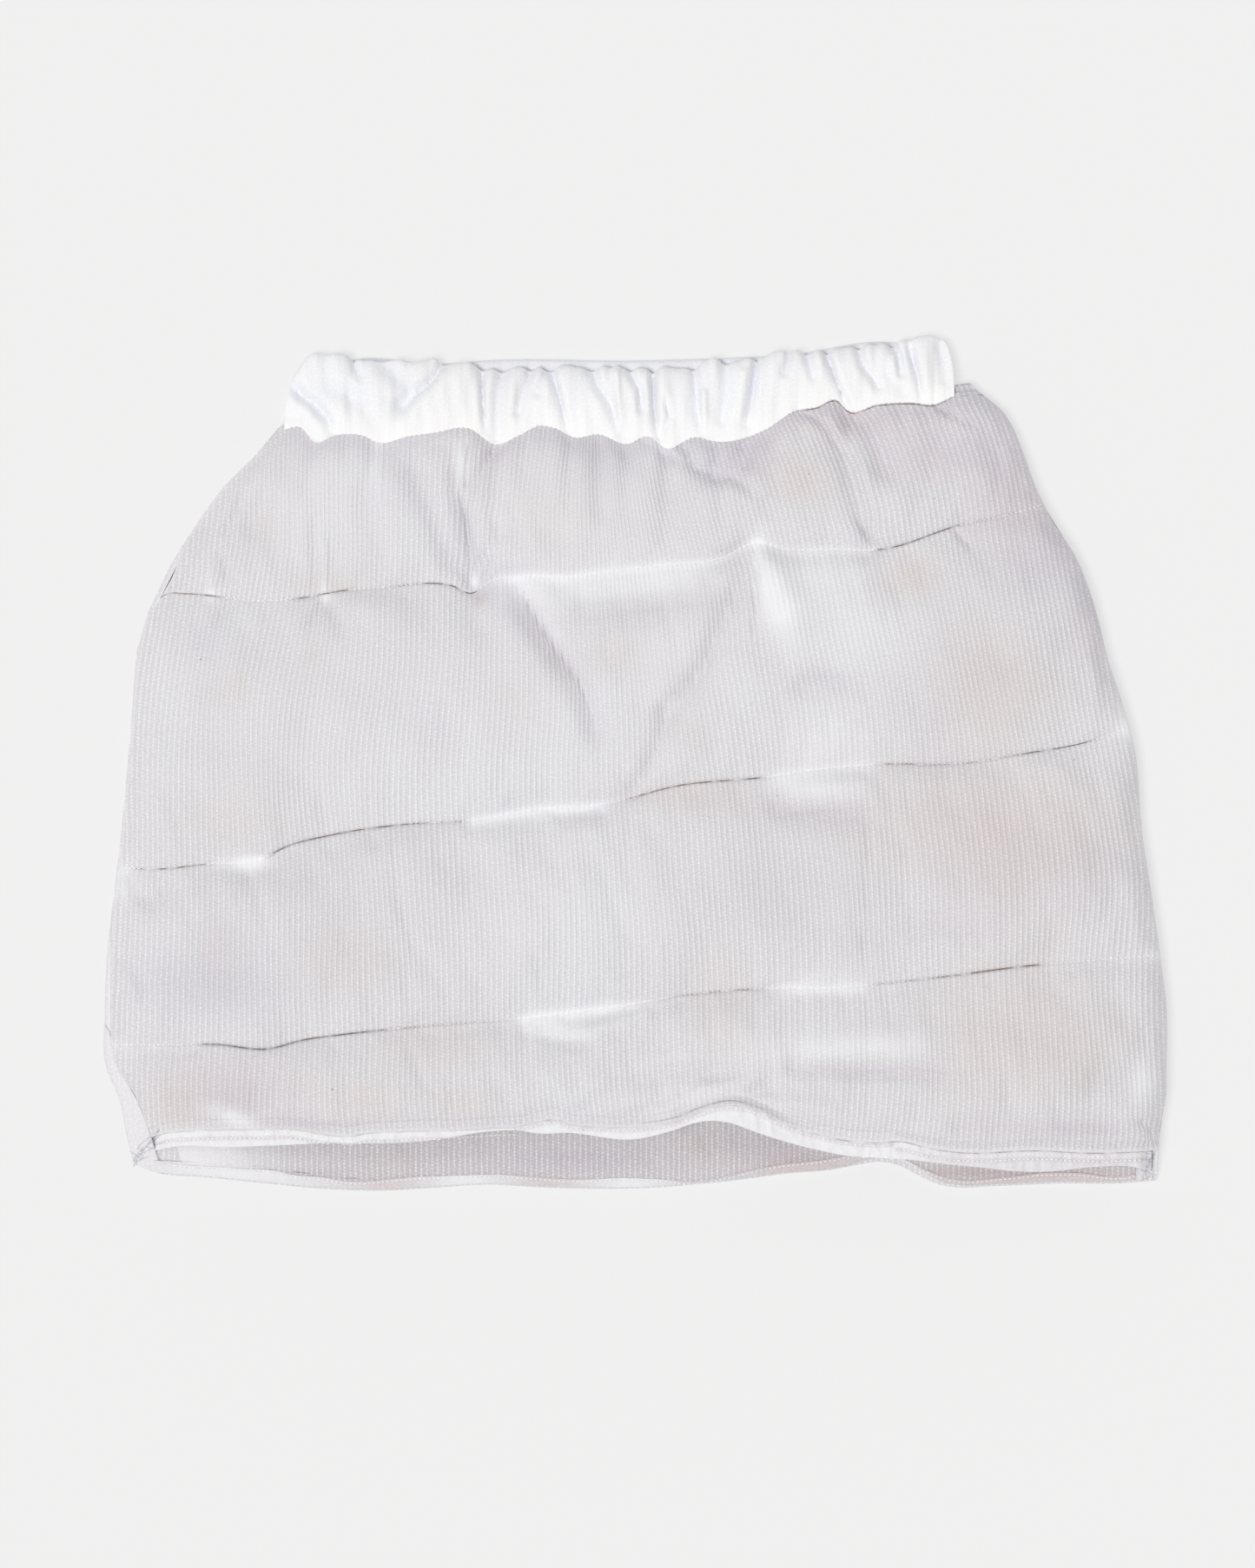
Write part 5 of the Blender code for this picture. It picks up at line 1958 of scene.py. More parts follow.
        # Painted light on the casing's lower half, and painted shade in its folds and on its upper half,
        # for how the light falls on the rounded casing.
        even, more = self.glow
        wave = self.glow_wave * np.sin(x / self.glow_wave_length)
        upper = smooth_step((above - self.upper_shade_from) / self.upper_shade_fade)
        shade = np.clip(self.fold_shade * folds + self.upper_shade * upper, 0.0, self.most_shade)
        wall = ClothWall(
            "waistband_front_casing", x, y, top, x, y, bottom,
            marks={
                Trace.RIBS: np.full_like(x, self.ribs),
                Trace.LIGHT: even + smooth_step(1 - above / self.glow_height) * (more + wave),
                Trace.SHADE: shade,
            },
        )
        piece = dress(wall, "waistband_front", Slot.WAISTBAND, finish)
        return piece

    def build_back(self, finish: Material) -> Piece:
        """Build the back casing, flat on the floor under the front one.

        Args:
            finish: The piece's material.

        Returns:
            The casing.
        """
        plan = self.plan
        parts = np.array(self.back_parts)

        def low_line(x: Array) -> Array:
            """Find the lower edge, beside the back."""
            return plan.waist.at(x) + plan.side_gap

        x, y = self.net(self.back_columns, low_line, self.back_top_line.at, parts)
        fall = np.sqrt(1 - unit((parts - self.back_fall_from) / (1 - self.back_fall_from)) ** 2)
        top = self.back_wall * (self.back_edge + (1 - self.back_edge) * fall)[:, None] + 0.0 * x
        top = np.maximum(top - np.clip(0.5 * self.folds(x, y), *self.back_folds), self.back_least)
        wall = ClothWall(
            "waistband_back_casing", x, y, top, x, y, 0.0 * x,
            marks={
                Trace.RIBS: np.full_like(x, self.ribs),
                Trace.SHADE: np.full_like(x, self.back_shade),
            },
        )
        piece = dress(wall, "waistband_back", Slot.WAISTBAND, finish)
        return piece


def new_material(name: str) -> tuple[Material, bpy.types.ShaderNode]:
    """Make a material, and give it back with its shader.

    Args:
        name: Its name.

    Returns:
        The material and its shader.
    """
    material = bpy.data.materials.new(name)
    material.use_nodes = True
    return material, material.node_tree.nodes["Principled BSDF"]


class Nodes:
    """A small helper that places and links shader nodes."""

    def __init__(self, tree: bpy.types.NodeTree) -> None:
        """Keep the tree that the nodes go into."""
        self.tree = tree

    def link(self, source: Socket | float, target: Socket) -> None:
        """Feed a socket from another one, or set it to a number.

        Args:
            source: A socket or a number.
            target: The socket to feed or to set.
        """
        if isinstance(source, (int, float)):
            target.default_value = source
        else:
            self.tree.links.new(source, target)

    def math(self, operation: str, *values: Socket | float) -> Socket:
        """Place a math node and return its output.

        Args:
            operation: The name of the operation.
            values: What the node takes, as sockets or numbers.

        Returns:
            The node's output.
        """
        node = self.tree.nodes.new("ShaderNodeMath")
        node.operation = operation
        for socket, value in zip(node.inputs, values):
            self.link(value, socket)
        return node.outputs[0]

    def ramp(self, value: Socket, low: float, high: float) -> Socket:
        """Rise softly from 0 to 1 between two values.

        Args:
            value: The value that rises.
            low: Where the rise starts.
            high: Where it ends.

        Returns:
            The risen value.
        """
        node = self.tree.nodes.new("ShaderNodeMapRange")
        node.interpolation_type = "SMOOTHSTEP"
        self.link(value, node.inputs["Value"])
        node.inputs["From Min"].default_value = low
        node.inputs["From Max"].default_value = high
        return node.outputs["Result"]

    def noise(self, place: Socket, scale: float, detail: float = 2.0) -> Socket:
        """Place a noise texture and return its value.

        Args:
            place: The place on the cloth.
            scale: How fine the noise is.
            detail: How much finer noise is added.

        Returns:
            The noise, from 0 to 1.
        """
        node = self.tree.nodes.new("ShaderNodeTexNoise")
        node.inputs["Scale"].default_value = scale
        node.inputs["Detail"].default_value = detail
        self.link(place, node.inputs["Vector"])
        return node.outputs["Fac"]

    def trace(self, trace: Trace) -> Socket:
        """Read one of the piece's marks.

        Args:
            trace: The mark.

        Returns:
            The mark's value.
        """
        node = self.tree.nodes.new("ShaderNodeAttribute")
        node.attribute_name = trace.value
        return node.outputs["Fac"]

    def mix(
        self,
        share: Socket | float,
        first: Socket | tuple[float, ...],
        second: Socket | tuple[float, ...],
        blend: str = "MIX",
    ) -> Socket:
        """Mix two colours.

        Args:
            share: Share of the second colour.
            first: The first colour, as a socket or as red, green and blue.
            second: The second colour.
            blend: Way of mixing.

        Returns:
            The mixed colour.
        """
        node = self.tree.nodes.new("ShaderNodeMix")
        node.data_type = "RGBA"
        node.blend_type = blend
        self.link(share, node.inputs[0])
        for socket, colour in ((node.inputs[6], first), (node.inputs[7], second)):
            if isinstance(colour, tuple):
                socket.default_value = (*colour, 1.0)
            else:
                self.tree.links.new(colour, socket)
        return node.outputs[2]


@dataclass(frozen=True)
class RibWeave:
    """The shared weave: knobbly ribs that run along the cloth."""

    name: str = "rib_weave"
    pitch: float = 0.00272
    bead: float = 0.00165
    stagger: float = 2.5
    fibre_scale: float = 850.0
    wander_scale: float = 90.0
    worn_scale: float = 260.0
    uneven_scale: float = 300.0
    unevenness: float = 7.0
    rib_half: tuple[float, float] = (0.05, 0.30)
    worn_range: tuple[float, float] = (0.25, 0.60)
    worn_share: float = 0.4
    knob_share: float = 0.4
    fuzz: float = 0.5

    def group(self) -> bpy.types.ShaderNodeTree:
        """Build the node group once, or return it.

        Returns:
            The group, with inputs for the cloth's place, the ribs' strength and the wander, and
            outputs for the ridges, the height and the fibres.
        """
        found = bpy.data.node_groups.get(self.name)
        if found:
            return found
        tree = bpy.data.node_groups.new(self.name, "ShaderNodeTree")
        sockets = tree.interface
        sockets.new_socket("Place", in_out="INPUT", socket_type="NodeSocketVector")
        for name, value in (("Ribs", 1.0), ("Wander", 0.15)):
            socket = sockets.new_socket(name, in_out="INPUT", socket_type="NodeSocketFloat")
            socket.default_value = value
        for name in ("Ridge", "Height", "Fibre"):
            sockets.new_socket(name, in_out="OUTPUT", socket_type="NodeSocketFloat")
        nodes = Nodes(tree)
        given = tree.nodes.new("NodeGroupInput")
        result = tree.nodes.new("NodeGroupOutput")
        split = tree.nodes.new("ShaderNodeSeparateXYZ")
        tree.links.new(given.outputs["Place"], split.inputs[0])
        wander = nodes.math("SUBTRACT", nodes.noise(given.outputs["Place"], self.wander_scale), 0.5)
        wander = nodes.math("MULTIPLY", wander, given.outputs["Wander"])
        turns = nodes.math("ADD", nodes.math("DIVIDE", split.outputs["X"], self.pitch), wander)
        shifted = nodes.math("FRACT", nodes.math("ADD", turns, 0.5))
        away = nodes.math("ABSOLUTE", nodes.math("SUBTRACT", shifted, 0.5))
        ridge = nodes.math("SUBTRACT", 1.0, nodes.ramp(away, *self.rib_half))
        worn = nodes.ramp(nodes.noise(given.outputs["Place"], self.worn_scale), *self.worn_range)
        worn = nodes.math("MULTIPLY_ADD", worn, 1 - self.worn_share, self.worn_share)
        ridge = nodes.math("MULTIPLY", ridge, worn)
        count = nodes.math("DIVIDE", split.outputs["Y"], self.bead)
        rib = nodes.math("FLOOR", nodes.math("ADD", turns, 0.5))
        uneven = nodes.noise(given.outputs["Place"], self.uneven_scale)
        uneven = nodes.math("MULTIPLY", uneven, self.unevenness)
        uneven = nodes.math("MULTIPLY_ADD", rib, self.stagger, uneven)
        knob = nodes.math("SINE", nodes.math("ADD", nodes.math("MULTIPLY", count, 2 * math.pi), uneven))
        knobs = nodes.math("MULTIPLY_ADD", knob, self.knob_share, 1 - self.knob_share)
        fibre = nodes.noise(given.outputs["Place"], self.fibre_scale, 3.0)
        beaded = nodes.math("MULTIPLY", nodes.math("MULTIPLY", ridge, knobs), given.outputs["Ribs"])
        fuzz = nodes.math("MULTIPLY", nodes.math("SUBTRACT", fibre, 0.5), self.fuzz)
        tree.links.new(beaded, result.inputs["Ridge"])
        tree.links.new(nodes.math("ADD", beaded, fuzz), result.inputs["Height"])
        tree.links.new(fibre, result.inputs["Fibre"])
        return tree


@dataclass(frozen=True)
class Cotton:
    """A cotton cloth: its colours on ribs and between them, and how its marks tint it, with painted shade
    and painted light among them.
    """

    name: str
    ridge: Colour
    valley: Colour
    warm: Colour = (0.95, 0.885, 0.845)
    soil: Colour = (0.36, 0.27, 0.21)
    # shade gives painted shade; the colour after it gives painted light, in places whiter cloth; the
    # colour of the row lines gives painted shadow in closed rows and grooves, partly dirt.
    shade: Colour = (0.90, 0.873, 0.905)
    lit_and_clean: Colour = (0.95, 0.96, 0.985)
    row_shadow_and_dirt: Colour = (0.26, 0.20, 0.17)
    grain: Colour = (0.85, 0.845, 0.86)
    glow: float = 0.75
    cloud_scale: float = 14.0
    cloud_warmth: float = 0.25
    cloud_range: tuple[float, float] = (0.35, 0.75)
    grain_range: tuple[float, float] = (0.3, 0.7)
    gap_scale: float = 130.0
    gap_range: tuple[float, float] = (0.30, 0.62)
    closed_range: tuple[float, float] = (0.25, 0.98)
    line_thinness: float = 0.9
    line_softness: tuple[float, float] = (-0.06, 0.16)
    sheen_roughness: float = 0.5
    specular: float = 0.25
    row_line_width: float = 0.32
    tooth_pitch: float = 0.0022
    tooth_height: float = 0.3
    roughness: float = 0.92
    sheen: float = 0.15
    bump: float = 0.7
    relief: float = 0.00025

    def row_line(self, nodes: Nodes, place: Socket) -> Socket:
        """Draw the dark toothed line of closed rows, hem grooves and the casing's edge: painted shadow,
        partly dirt in the rows.

        Args:
            nodes: The helper of the material's tree.
            place: The place on the cloth.

        Returns:
            The line's strength, 1 in its middle.
        """
        split = nodes.tree.nodes.new("ShaderNodeSeparateXYZ")
        nodes.tree.links.new(place, split.inputs[0])
        saw = nodes.math("FRACT", nodes.math("DIVIDE", split.outputs["X"], self.tooth_pitch))
        tooth = nodes.math("ABSOLUTE", nodes.math("SUBTRACT", saw, 0.5))
        shifted = nodes.math("MULTIPLY_ADD", tooth, self.tooth_height, nodes.trace(Trace.FROM_ROW))
        away = nodes.math("ABSOLUTE", nodes.math("SUBTRACT", shifted, self.tooth_height / 4))
        closed = nodes.ramp(nodes.trace(Trace.CLOSED), *self.closed_range)
        broken = nodes.ramp(nodes.noise(place, self.gap_scale), *self.gap_range)
        width = nodes.math("MULTIPLY_ADD", closed, self.row_line_width / 2, self.row_line_width / 2)
        within = nodes.math("SUBTRACT", width, nodes.math("MULTIPLY", away, self.line_thinness))
        drawn = nodes.ramp(within, *self.line_softness)
        return nodes.math("MULTIPLY", drawn, nodes.math("MULTIPLY", closed, broken))

    def material(self) -> Material:
        """Build the cloth's material.

        Returns:
            The material.
        """
        material, shader = new_material(self.name)
        tree = material.node_tree
        nodes = Nodes(tree)
        place = tree.nodes.new("ShaderNodeUVMap")
        place.uv_map = CLOTH_MAP
        solid_place = tree.nodes.new("ShaderNodeTexCoord").outputs["Object"]
        weave = tree.nodes.new("ShaderNodeGroup")
        weave.node_tree = RibWeave().group()
        tree.links.new(place.outputs["UV"], weave.inputs["Place"])
        tree.links.new(nodes.trace(Trace.RIBS), weave.inputs["Ribs"])
        flat = tuple((a + b) / 2 for a, b in zip(self.ridge, self.valley))
        valley = nodes.mix(nodes.trace(Trace.RIBS), flat, self.valley)
        colour = nodes.mix(weave.outputs["Ridge"], valley, self.ridge)
        grain = nodes.ramp(weave.outputs["Fibre"], *self.grain_range)
        colour = nodes.mix(grain, nodes.mix(1.0, colour, self.grain, "MULTIPLY"), colour)
        clouds = nodes.ramp(nodes.noise(solid_place, self.cloud_scale, 3.0), *self.cloud_range)
        warmth = nodes.math("MULTIPLY_ADD", clouds, self.cloud_warmth, nodes.trace(Trace.WARMTH))
        warmed = nodes.mix(1.0, colour, self.warm, "MULTIPLY")
        colour = nodes.mix(nodes.math("MINIMUM", warmth, 1.0), colour, warmed)
        # Painted shade, painted light (in places whiter cloth), real stains, then the painted shadow
        # lines, partly dirt.
        shaded = nodes.mix(1.0, colour, self.shade, "MULTIPLY")
        colour = nodes.mix(nodes.trace(Trace.SHADE), colour, shaded)
        bright = nodes.mix(self.glow, colour, self.lit_and_clean)
        colour = nodes.mix(nodes.trace(Trace.LIGHT), colour, bright)
        colour = nodes.mix(nodes.trace(Trace.SOIL), colour, self.soil)
        colour = nodes.mix(self.row_line(nodes, place.outputs["UV"]), colour, self.row_shadow_and_dirt)
        tree.links.new(colour, shader.inputs["Base Color"])
        shader.inputs["Roughness"].default_value = self.roughness
        shader.inputs["Sheen Weight"].default_value = self.sheen
        shader.inputs["Sheen Roughness"].default_value = self.sheen_roughness
        shader.inputs["Specular IOR Level"].default_value = self.specular
        bump = tree.nodes.new("ShaderNodeBump")
        bump.inputs["Strength"].default_value = self.bump
        bump.inputs["Distance"].default_value = self.relief
        tree.links.new(weave.outputs["Height"], bump.inputs["Height"])
        tree.links.new(bump.outputs["Normal"], shader.inputs["Normal"])
        return material


RIBBED_COTTON = Cotton(
    "ribbed_cotton", ridge=(1.0, 1.0, 1.0), valley=(0.748, 0.742, 0.775), grain=(0.895, 0.89, 0.90),
    bump=0.9,
)
LINING_COTTON = Cotton("lining_cotton", ridge=(0.97, 0.95, 0.965), valley=(0.65, 0.63, 0.655))
BAND_COTTON = Cotton(
    "band_cotton", ridge=(1.0, 1.0, 1.0), valley=(0.95, 0.955, 0.975), shade=(0.90, 0.915, 0.96),
    lit_and_clean=(0.985, 0.985, 0.98), grain=(0.92, 0.92, 0.93),
)


@dataclass(frozen=True)
class Thread:
    """Sewing thread, with the lights and darks of its twist."""

    name: str
    colour: Colour
    dark: Colour
    twist_scale: float = 900.0
    twist_range: tuple[float, float] = (0.35, 0.65)
    roughness: float = 0.7
    relief: float = 0.0001

    def material(self) -> Material:
        """Build the thread's material.

        Returns:
            The material.
        """
        material, shader = new_material(self.name)
        tree = material.node_tree
        nodes = Nodes(tree)
        place = tree.nodes.new("ShaderNodeTexCoord").outputs["Object"]
        twist = nodes.ramp(nodes.noise(place, self.twist_scale), *self.twist_range)
        tree.links.new(nodes.mix(twist, self.dark, self.colour), shader.inputs["Base Color"])
        shader.inputs["Roughness"].default_value = self.roughness
        bump = tree.nodes.new("ShaderNodeBump")
        bump.inputs["Distance"].default_value = self.relief
        tree.links.new(twist, bump.inputs["Height"])
        tree.links.new(bump.outputs["Normal"], shader.inputs["Normal"])
        return material


WHITE_THREAD = Thread("white_thread", (0.99, 0.985, 0.985), (0.84, 0.81, 0.80))
GREY_THREAD = Thread("grey_thread", (0.78, 0.78, 0.83), (0.52, 0.52, 0.57))
DARK_FIBRE = Thread("dark_fibre", (0.20, 0.18, 0.18), (0.08, 0.07, 0.07))

FIBRES = (
    (42.4, 105.4, 0.4), (34.6, 100.2, 0.1), (85.4, 143.2, 0.0), (147.7, 131.2, 1.2),
    (-149.4, -160.4, 1.4), (69.7, -15.8, 0.3), (216.9, 2.1, 0.9), (-214.8, 51.6, 0.6),
)


@dataclass(frozen=True)
class Tangle:
    """Loose overlock threads at a corner: long loops that wander within an oval."""

    name: str
    centre: tuple[float, float]
    reach: tuple[float, float]
    turn: float
    threads: int
    seed: int
    points: int = 46
    thickness: float = 0.17
    wander: float = 0.55
    looseness: float = 0.3

    def build(self, surface: Surface, finish: Material, slot: Slot) -> Piece:
        """Lay the threads on the surface.

        Args:
            surface: The pieces that they lie on.
            finish: The thread.
            slot: The record's slot.

        Returns:
            The threads.
        """
        random = np.random.default_rng(self.seed)
        data = bpy.data.curves.new(self.name, "CURVE")
        data.dimensions = "3D"
        data.bevel_depth = self.thickness * MM
        data.bevel_resolution = 1
        data.resolution_u = 3
        for _ in range(self.threads):
            way = np.cumsum(random.normal(0.0, self.wander, (self.points, 2)), axis=0)
            way = np.cumsum(way, axis=0)
            way = (way - way.mean(axis=0)) / np.abs(way - way.mean(axis=0)).max(axis=0)
            across, along = (way * self.reach).T
            x = self.centre[0] + across * math.cos(self.turn) - along * math.sin(self.turn)
            y = self.centre[1] + across * math.sin(self.turn) + along * math.cos(self.turn)
            height = surface.at(x, y) + self.thickness + random.uniform(0.0, self.looseness, self.points)
            spline = data.splines.new("NURBS")
            spline.points.add(self.points - 1)
            for point, place in zip(spline.points, zip(x, y, height)):
                point.co = (*(np.array(place) * MM), 1.0)
            spline.order_u = 4
            spline.use_endpoint_u = True
        tangle = bpy.data.objects.new(self.name, data)
        bpy.context.scene.collection.objects.link(tangle)
        bpy.ops.object.select_all(action="DESELECT")
        tangle.select_set(True)
        bpy.context.view_layer.objects.active = tangle
        bpy.ops.object.convert(target="MESH")
        piece = bpy.context.active_object
        mount(piece, slot, finish)
        return piece


TANGLES = (
    Tangle("left_corner_threads", (-242.5, -190.5), (10.5, 5.0), 0.5, 4, 5),
    Tangle("left_end_thread", (-247.0, -196.5), (4.5, 3.0), -0.3, 2, 6),
    Tangle("right_corner_threads", (254.5, -199.0), (3.6, 7.5), 0.1, 4, 7),
    Tangle("left_edge_tuft", (-261.0, -132.5), (1.6, 3.5), 0.1, 2, 9),
)


class Surface:
    """The dressed pieces, as a surface to lay threads on."""

    def __init__(self, pieces: list[Piece]) -> None:
        """Take the pieces' present forms."""
        graph = bpy.context.evaluated_depsgraph_get()
        self.trees = [BVHTree.FromObject(piece, graph) for piece in pieces]

    def at(self, x: Array, y: Array) -> Array:
        """Find the highest point of the pieces over each place, in millimetres.

        Args:
            x: Places across the skirt.
            y: Places along the skirt.

        Returns:
            Heights in millimetres.
        """
        heights = np.zeros(np.shape(x))
        for index, place in enumerate(zip(x, y)):
            start = Vector((*place, 100.0)) * MM
            hits = [tree.ray_cast(start, Vector((0.0, 0.0, -1.0)))[0] for tree in self.trees]
            heights[index] = max((hit.z / MM for hit in hits if hit), default=0.0)
        return heights


@dataclass(frozen=True)
class Run:
    """A run of stitches along the front hem: its height above the edge, and its first and last x."""

    name: str
    above_hem: float
    start: float
    end: float
    slot: Slot = Slot.LINING
    size: tuple[float, float] | None = None
    zigzag: float = 0.0


HEM_RUNS = (
    Run("front_hem_stitches", 3.4, 131.0, 256.0, Slot.SHELL, size=(0.9, 0.5)),
    Run("lining_hem_left_stitches", -4.4, -232.0, -60.0),
    Run("lining_hem_right_stitches", -4.4, 128.0, 250.0),
    Run("lining_hem_middle_stitches", -1.7, -58.0, 126.0),
    Run("zigzag_left_stitches", -2.0, -188.0, -138.0, zigzag=0.9),
    Run("zigzag_right_stitches", -2.0, 162.0, 250.0, zigzag=0.9),
)


@dataclass
class Sewing:
    """The threads that show: one stitch is modelled, and its copies are laid along each run."""

    plan: SkirtPlan
    surface: Surface
    length: float = 1.45
    thickness: float = 0.95
    pitch: float = 2.3
    sunk: float = -0.15
    open_from: float = 0.12
    unevenness: float = 0.10
    fibre_size: tuple[float, float] = (0.9, 0.3)
    row_ends: tuple[float, float] = (1.5, 2.0)
    search_width: float = 250.0
    back_hem_run: tuple[float, float, float] = (-0.9, -228.0, 250.0)
    finest_step: float = 0.1
    end_bevel: float = 0.16
    end_dip: float = 0.35
    seed: int = 3

    def one_stitch(self) -> Piece:
        """Model one stitch: a short round thread whose ends dip into the cloth.

        Returns:
            The stitch, one unit long along X, at the origin.
        """
        bpy.ops.object.select_all(action="DESELECT")
        along_x = (0.0, math.pi / 2, 0.0)
        bpy.ops.mesh.primitive_cylinder_add(vertices=6, radius=0.5, depth=1.0, rotation=along_x)
        stitch = bpy.context.active_object
        stitch.name = "stitch"
        bpy.ops.object.transform_apply(location=True, rotation=True, scale=True)
        bpy.ops.object.mode_set(mode="EDIT")
        bpy.ops.mesh.select_all(action="SELECT")
        bpy.ops.mesh.bevel(offset=self.end_bevel, segments=1, affect="EDGES")
        bpy.ops.object.mode_set(mode="OBJECT")
        for vertex in stitch.data.vertices:
            vertex.select = abs(vertex.co.x) > 0.45
        bpy.ops.object.mode_set(mode="EDIT")
        bpy.ops.transform.translate(value=(0.0, 0.0, -self.end_dip))
        bpy.ops.object.mode_set(mode="OBJECT")
        bpy.ops.object.shade_smooth()
        return stitch

    def run(
        self,
        name: str,
        places: Array,
        finish: Material,
        slot: Slot,
        size: tuple[float, float] | None = None,
    ) -> Piece:
        """Lay copies of the stitch along a run and join them.

        Args:
            name: The run's name.
            places: Rows of x, y, z and the turn of each stitch in radians.
            finish: The thread.
            slot: The record's slot.
            size: Length and thickness, or None for the usual stitch.

        Returns:
            The joined run.
        """
        random = np.random.default_rng(self.seed)
        length, thickness = size or (self.length, self.thickness)
        stitch = self.one_stitch()
        copies = []
        for x, y, z, turn in places:
            copy = stitch.copy()
            copy.data = stitch.data.copy()
            copy.location = Vector((x, y, z - self.sunk)) * MM
            copy.rotation_euler = (0.0, 0.0, turn + random.normal(0.0, self.unevenness))
            long = length * (1 + random.normal(0.0, self.unevenness))
            copy.scale = (long * MM, thickness * MM, thickness * MM)
            bpy.context.scene.collection.objects.link(copy)
            copies.append(copy)
        bpy.data.objects.remove(stitch)
        bpy.ops.object.select_all(action="DESELECT")
        for copy in copies:
            copy.select_set(True)
        bpy.context.view_layer.objects.active = copies[0]
        bpy.ops.object.join()
        bpy.ops.object.transform_apply(location=True, rotation=True, scale=True)
        piece = bpy.context.active_object
        piece.name = name
        piece.data.name = name
        mount(piece, slot, finish)
        return piece

    def along(self, path: Line, start: float, end: float) -> Array:
        """Space stitches along a line.

        Args:
            path: The line.
            start: Its first x.
            end: Its last x.

        Returns:
            Rows of x, y, z and turn.
        """
        fine = np.arange(start, end, self.finest_step)
        length = np.append(0.0, np.cumsum(np.hypot(np.diff(fine), np.diff(path.at(fine)))))
        x = np.interp(np.arange(0.0, length[-1], self.pitch), length, fine)
        y = path.at(x)
        turn = np.arctan2(path.at(x + 0.5) - path.at(x - 0.5), 1.0)
        return np.stack([x, y, self.surface.at(x, y), turn], axis=1)

    def build(self, white: Material, dark: Material) -> list[Piece]:
        """Sew every run that shows, and scatter the few dark fibres.

        Args:
            white: The white thread.
            dark: The dark fibres.

        Returns:
            The runs.
        """
        plan, pieces = self.plan, []
        for number, row in enumerate(plan.rows, 1):
            y = row.path.at(np.array([-self.search_width, self.search_width]))
            left_end, right_end = self.row_ends
            ends = plan.seam_x(y)[0] + left_end, plan.right.at(y)[1] - right_end
            places = self.along(row.path, *ends)
            shown = row.openness.at(places[:, 0]) > self.open_from
            pieces.append(self.run(f"row_{number}_stitches", places[shown], white, Slot.SHELL))
        for run in HEM_RUNS:
            path = plan.front_hem.raised(run.above_hem)
            places = self.along(path, run.start, run.end)
            places[::2, 3] += run.zigzag
            places[1::2, 3] -= run.zigzag
            pieces.append(self.run(run.name, places, white, run.slot, run.size))
        x, y, turn = np.array(FIBRES).T
        places = np.stack([x, y, self.surface.at(x, y), turn], axis=1)
        pieces.append(self.run("dark_fibres", places, dark, Slot.SHELL, self.fibre_size))
        above, start, end = self.back_hem_run
        places = self.along(plan.back_stitch.raised(above), start, end)
        pieces.append(self.run("back_hem_stitches", places, white, Slot.LINING))
        return pieces


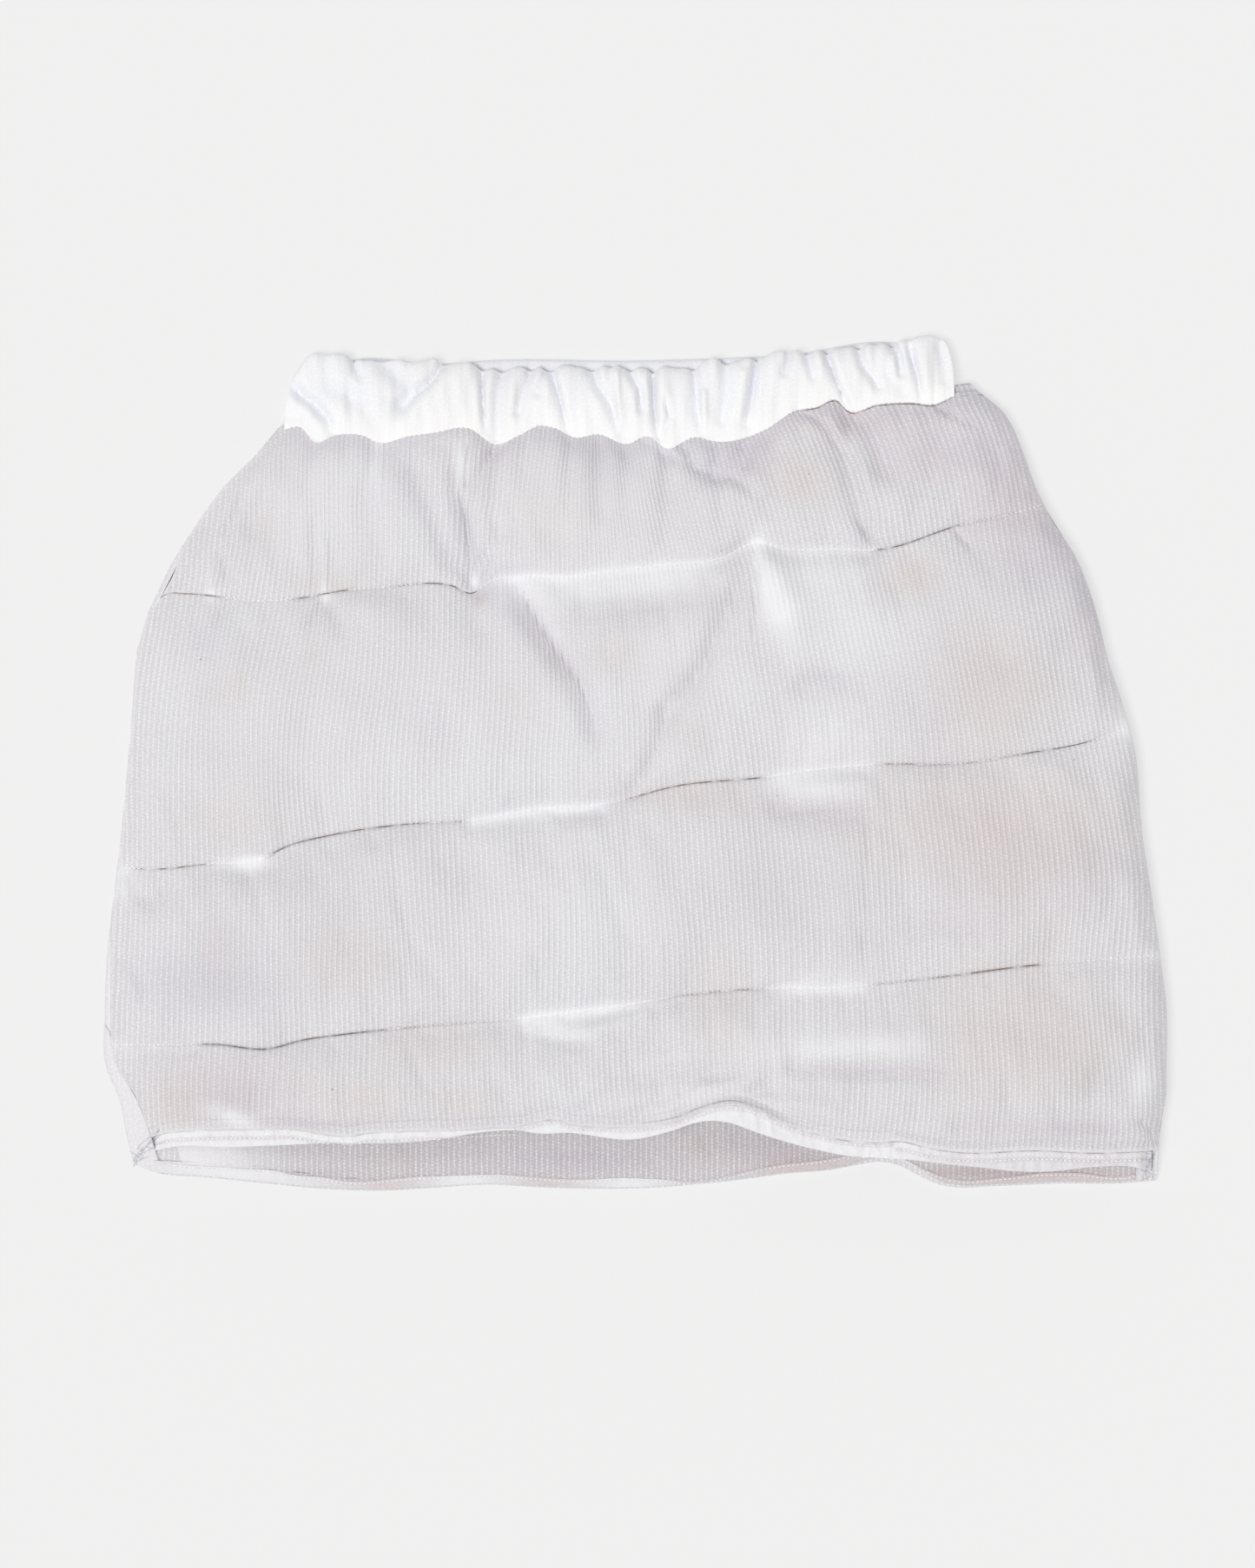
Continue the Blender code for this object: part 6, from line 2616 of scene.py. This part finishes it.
@dataclass(frozen=True)
class Studio:
    """The pale floor, the soft light and the camera straight above."""

    camera_height: float = 4.0
    subject_height: float = 0.015
    frame_height: float = 0.7766
    frame_centre: tuple[float, float] = (-0.0039, -0.0099)
    sensor: float = 36.0
    floor_size: float = 8.0
    floor_colour: Colour = (0.30, 0.30, 0.30)
    floor_glow: float = 0.571
    ambient: float = 0.50
    sun_from: tuple[float, float, float] = (-0.24, -0.13, 0.95)
    sun_power: float = 1.65
    sun_spread: float = 22.0
    sun_colour: Colour = (1.0, 0.99, 0.98)
    floor_drop: float = 0.0004

    def build(self) -> None:
        """Set up floor, light and camera."""
        self.build_floor()
        self.build_light()
        self.build_camera()

    def build_floor(self) -> None:
        """Lay the pale floor just under the skirt."""
        bpy.ops.object.select_all(action="DESELECT")
        bpy.ops.mesh.primitive_plane_add(size=self.floor_size, location=(0.0, 0.0, -self.floor_drop))
        floor = bpy.context.active_object
        floor.name = "floor"
        bpy.ops.object.transform_apply(location=True, rotation=False, scale=False)
        material, shader = new_material("pale_floor")
        shader.inputs["Base Color"].default_value = (*self.floor_colour, 1.0)
        shader.inputs["Roughness"].default_value = 0.95
        shader.inputs["Specular IOR Level"].default_value = 0.1
        shader.inputs["Emission Color"].default_value = (1.0, 1.0, 1.0, 1.0)
        shader.inputs["Emission Strength"].default_value = self.floor_glow
        floor.data.materials.append(material)

    def build_light(self) -> None:
        """Set an even white surrounding and one broad soft light, a little from the hem's side."""
        world = bpy.data.worlds.new("studio")
        world.use_nodes = True
        world.node_tree.nodes["Background"].inputs["Color"].default_value = (1.0, 1.0, 1.0, 1.0)
        world.node_tree.nodes["Background"].inputs["Strength"].default_value = self.ambient
        bpy.context.scene.world = world
        light = bpy.data.lights.new("key", "SUN")
        light.energy = self.sun_power
        light.angle = math.radians(self.sun_spread)
        light.color = self.sun_colour
        key = bpy.data.objects.new("key", light)
        key.location = self.sun_from
        key.rotation_mode = "QUATERNION"
        key.rotation_quaternion = Vector(self.sun_from).to_track_quat("Z", "Y")
        bpy.context.scene.collection.objects.link(key)

    def build_camera(self) -> None:
        """Place the camera straight above, framed as in the photo."""
        data = bpy.data.cameras.new("camera")
        data.sensor_width = self.sensor
        data.lens = self.sensor * (self.camera_height - self.subject_height) / self.frame_height
        data.clip_start, data.clip_end = 0.1, 20.0
        camera = bpy.data.objects.new("camera", data)
        camera.location = (*self.frame_centre, self.camera_height)
        bpy.context.scene.collection.objects.link(camera)
        bpy.context.scene.camera = camera
        settings = bpy.context.scene.view_settings
        settings.view_transform = "Standard"
        settings.look = "None"


def main() -> None:
    """Build the dressed skirt around its frame."""
    logging.basicConfig(level=logging.INFO, format="%(name)s: %(message)s")
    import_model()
    bpy.ops.object.select_all(action="DESELECT")
    plan = SkirtPlan()
    ribbed, lining, band = (cloth.material() for cloth in (RIBBED_COTTON, LINING_COTTON, BAND_COTTON))
    front = FrontShell(plan)
    back = BackShell(plan, front)
    waistband = Waistband(plan, front)
    pieces = [
        back.build(ribbed),
        BackLining(plan).build(lining),
        FrontLining(plan).build(lining),
        front.build(ribbed),
        waistband.build_back(band),
        waistband.build_front(band),
    ]
    surface = Surface(pieces)
    pieces += Sewing(plan, surface).build(WHITE_THREAD.material(), DARK_FIBRE.material())
    grey = GREY_THREAD.material()
    pieces += [tangle.build(surface, grey, Slot.LINING) for tangle in TANGLES]
    for piece in pieces:
        LOG.info("%s: %d triangles", piece.name, len(piece.data.polygons))
    Studio().build()


if __name__ == "__main__":
    main()
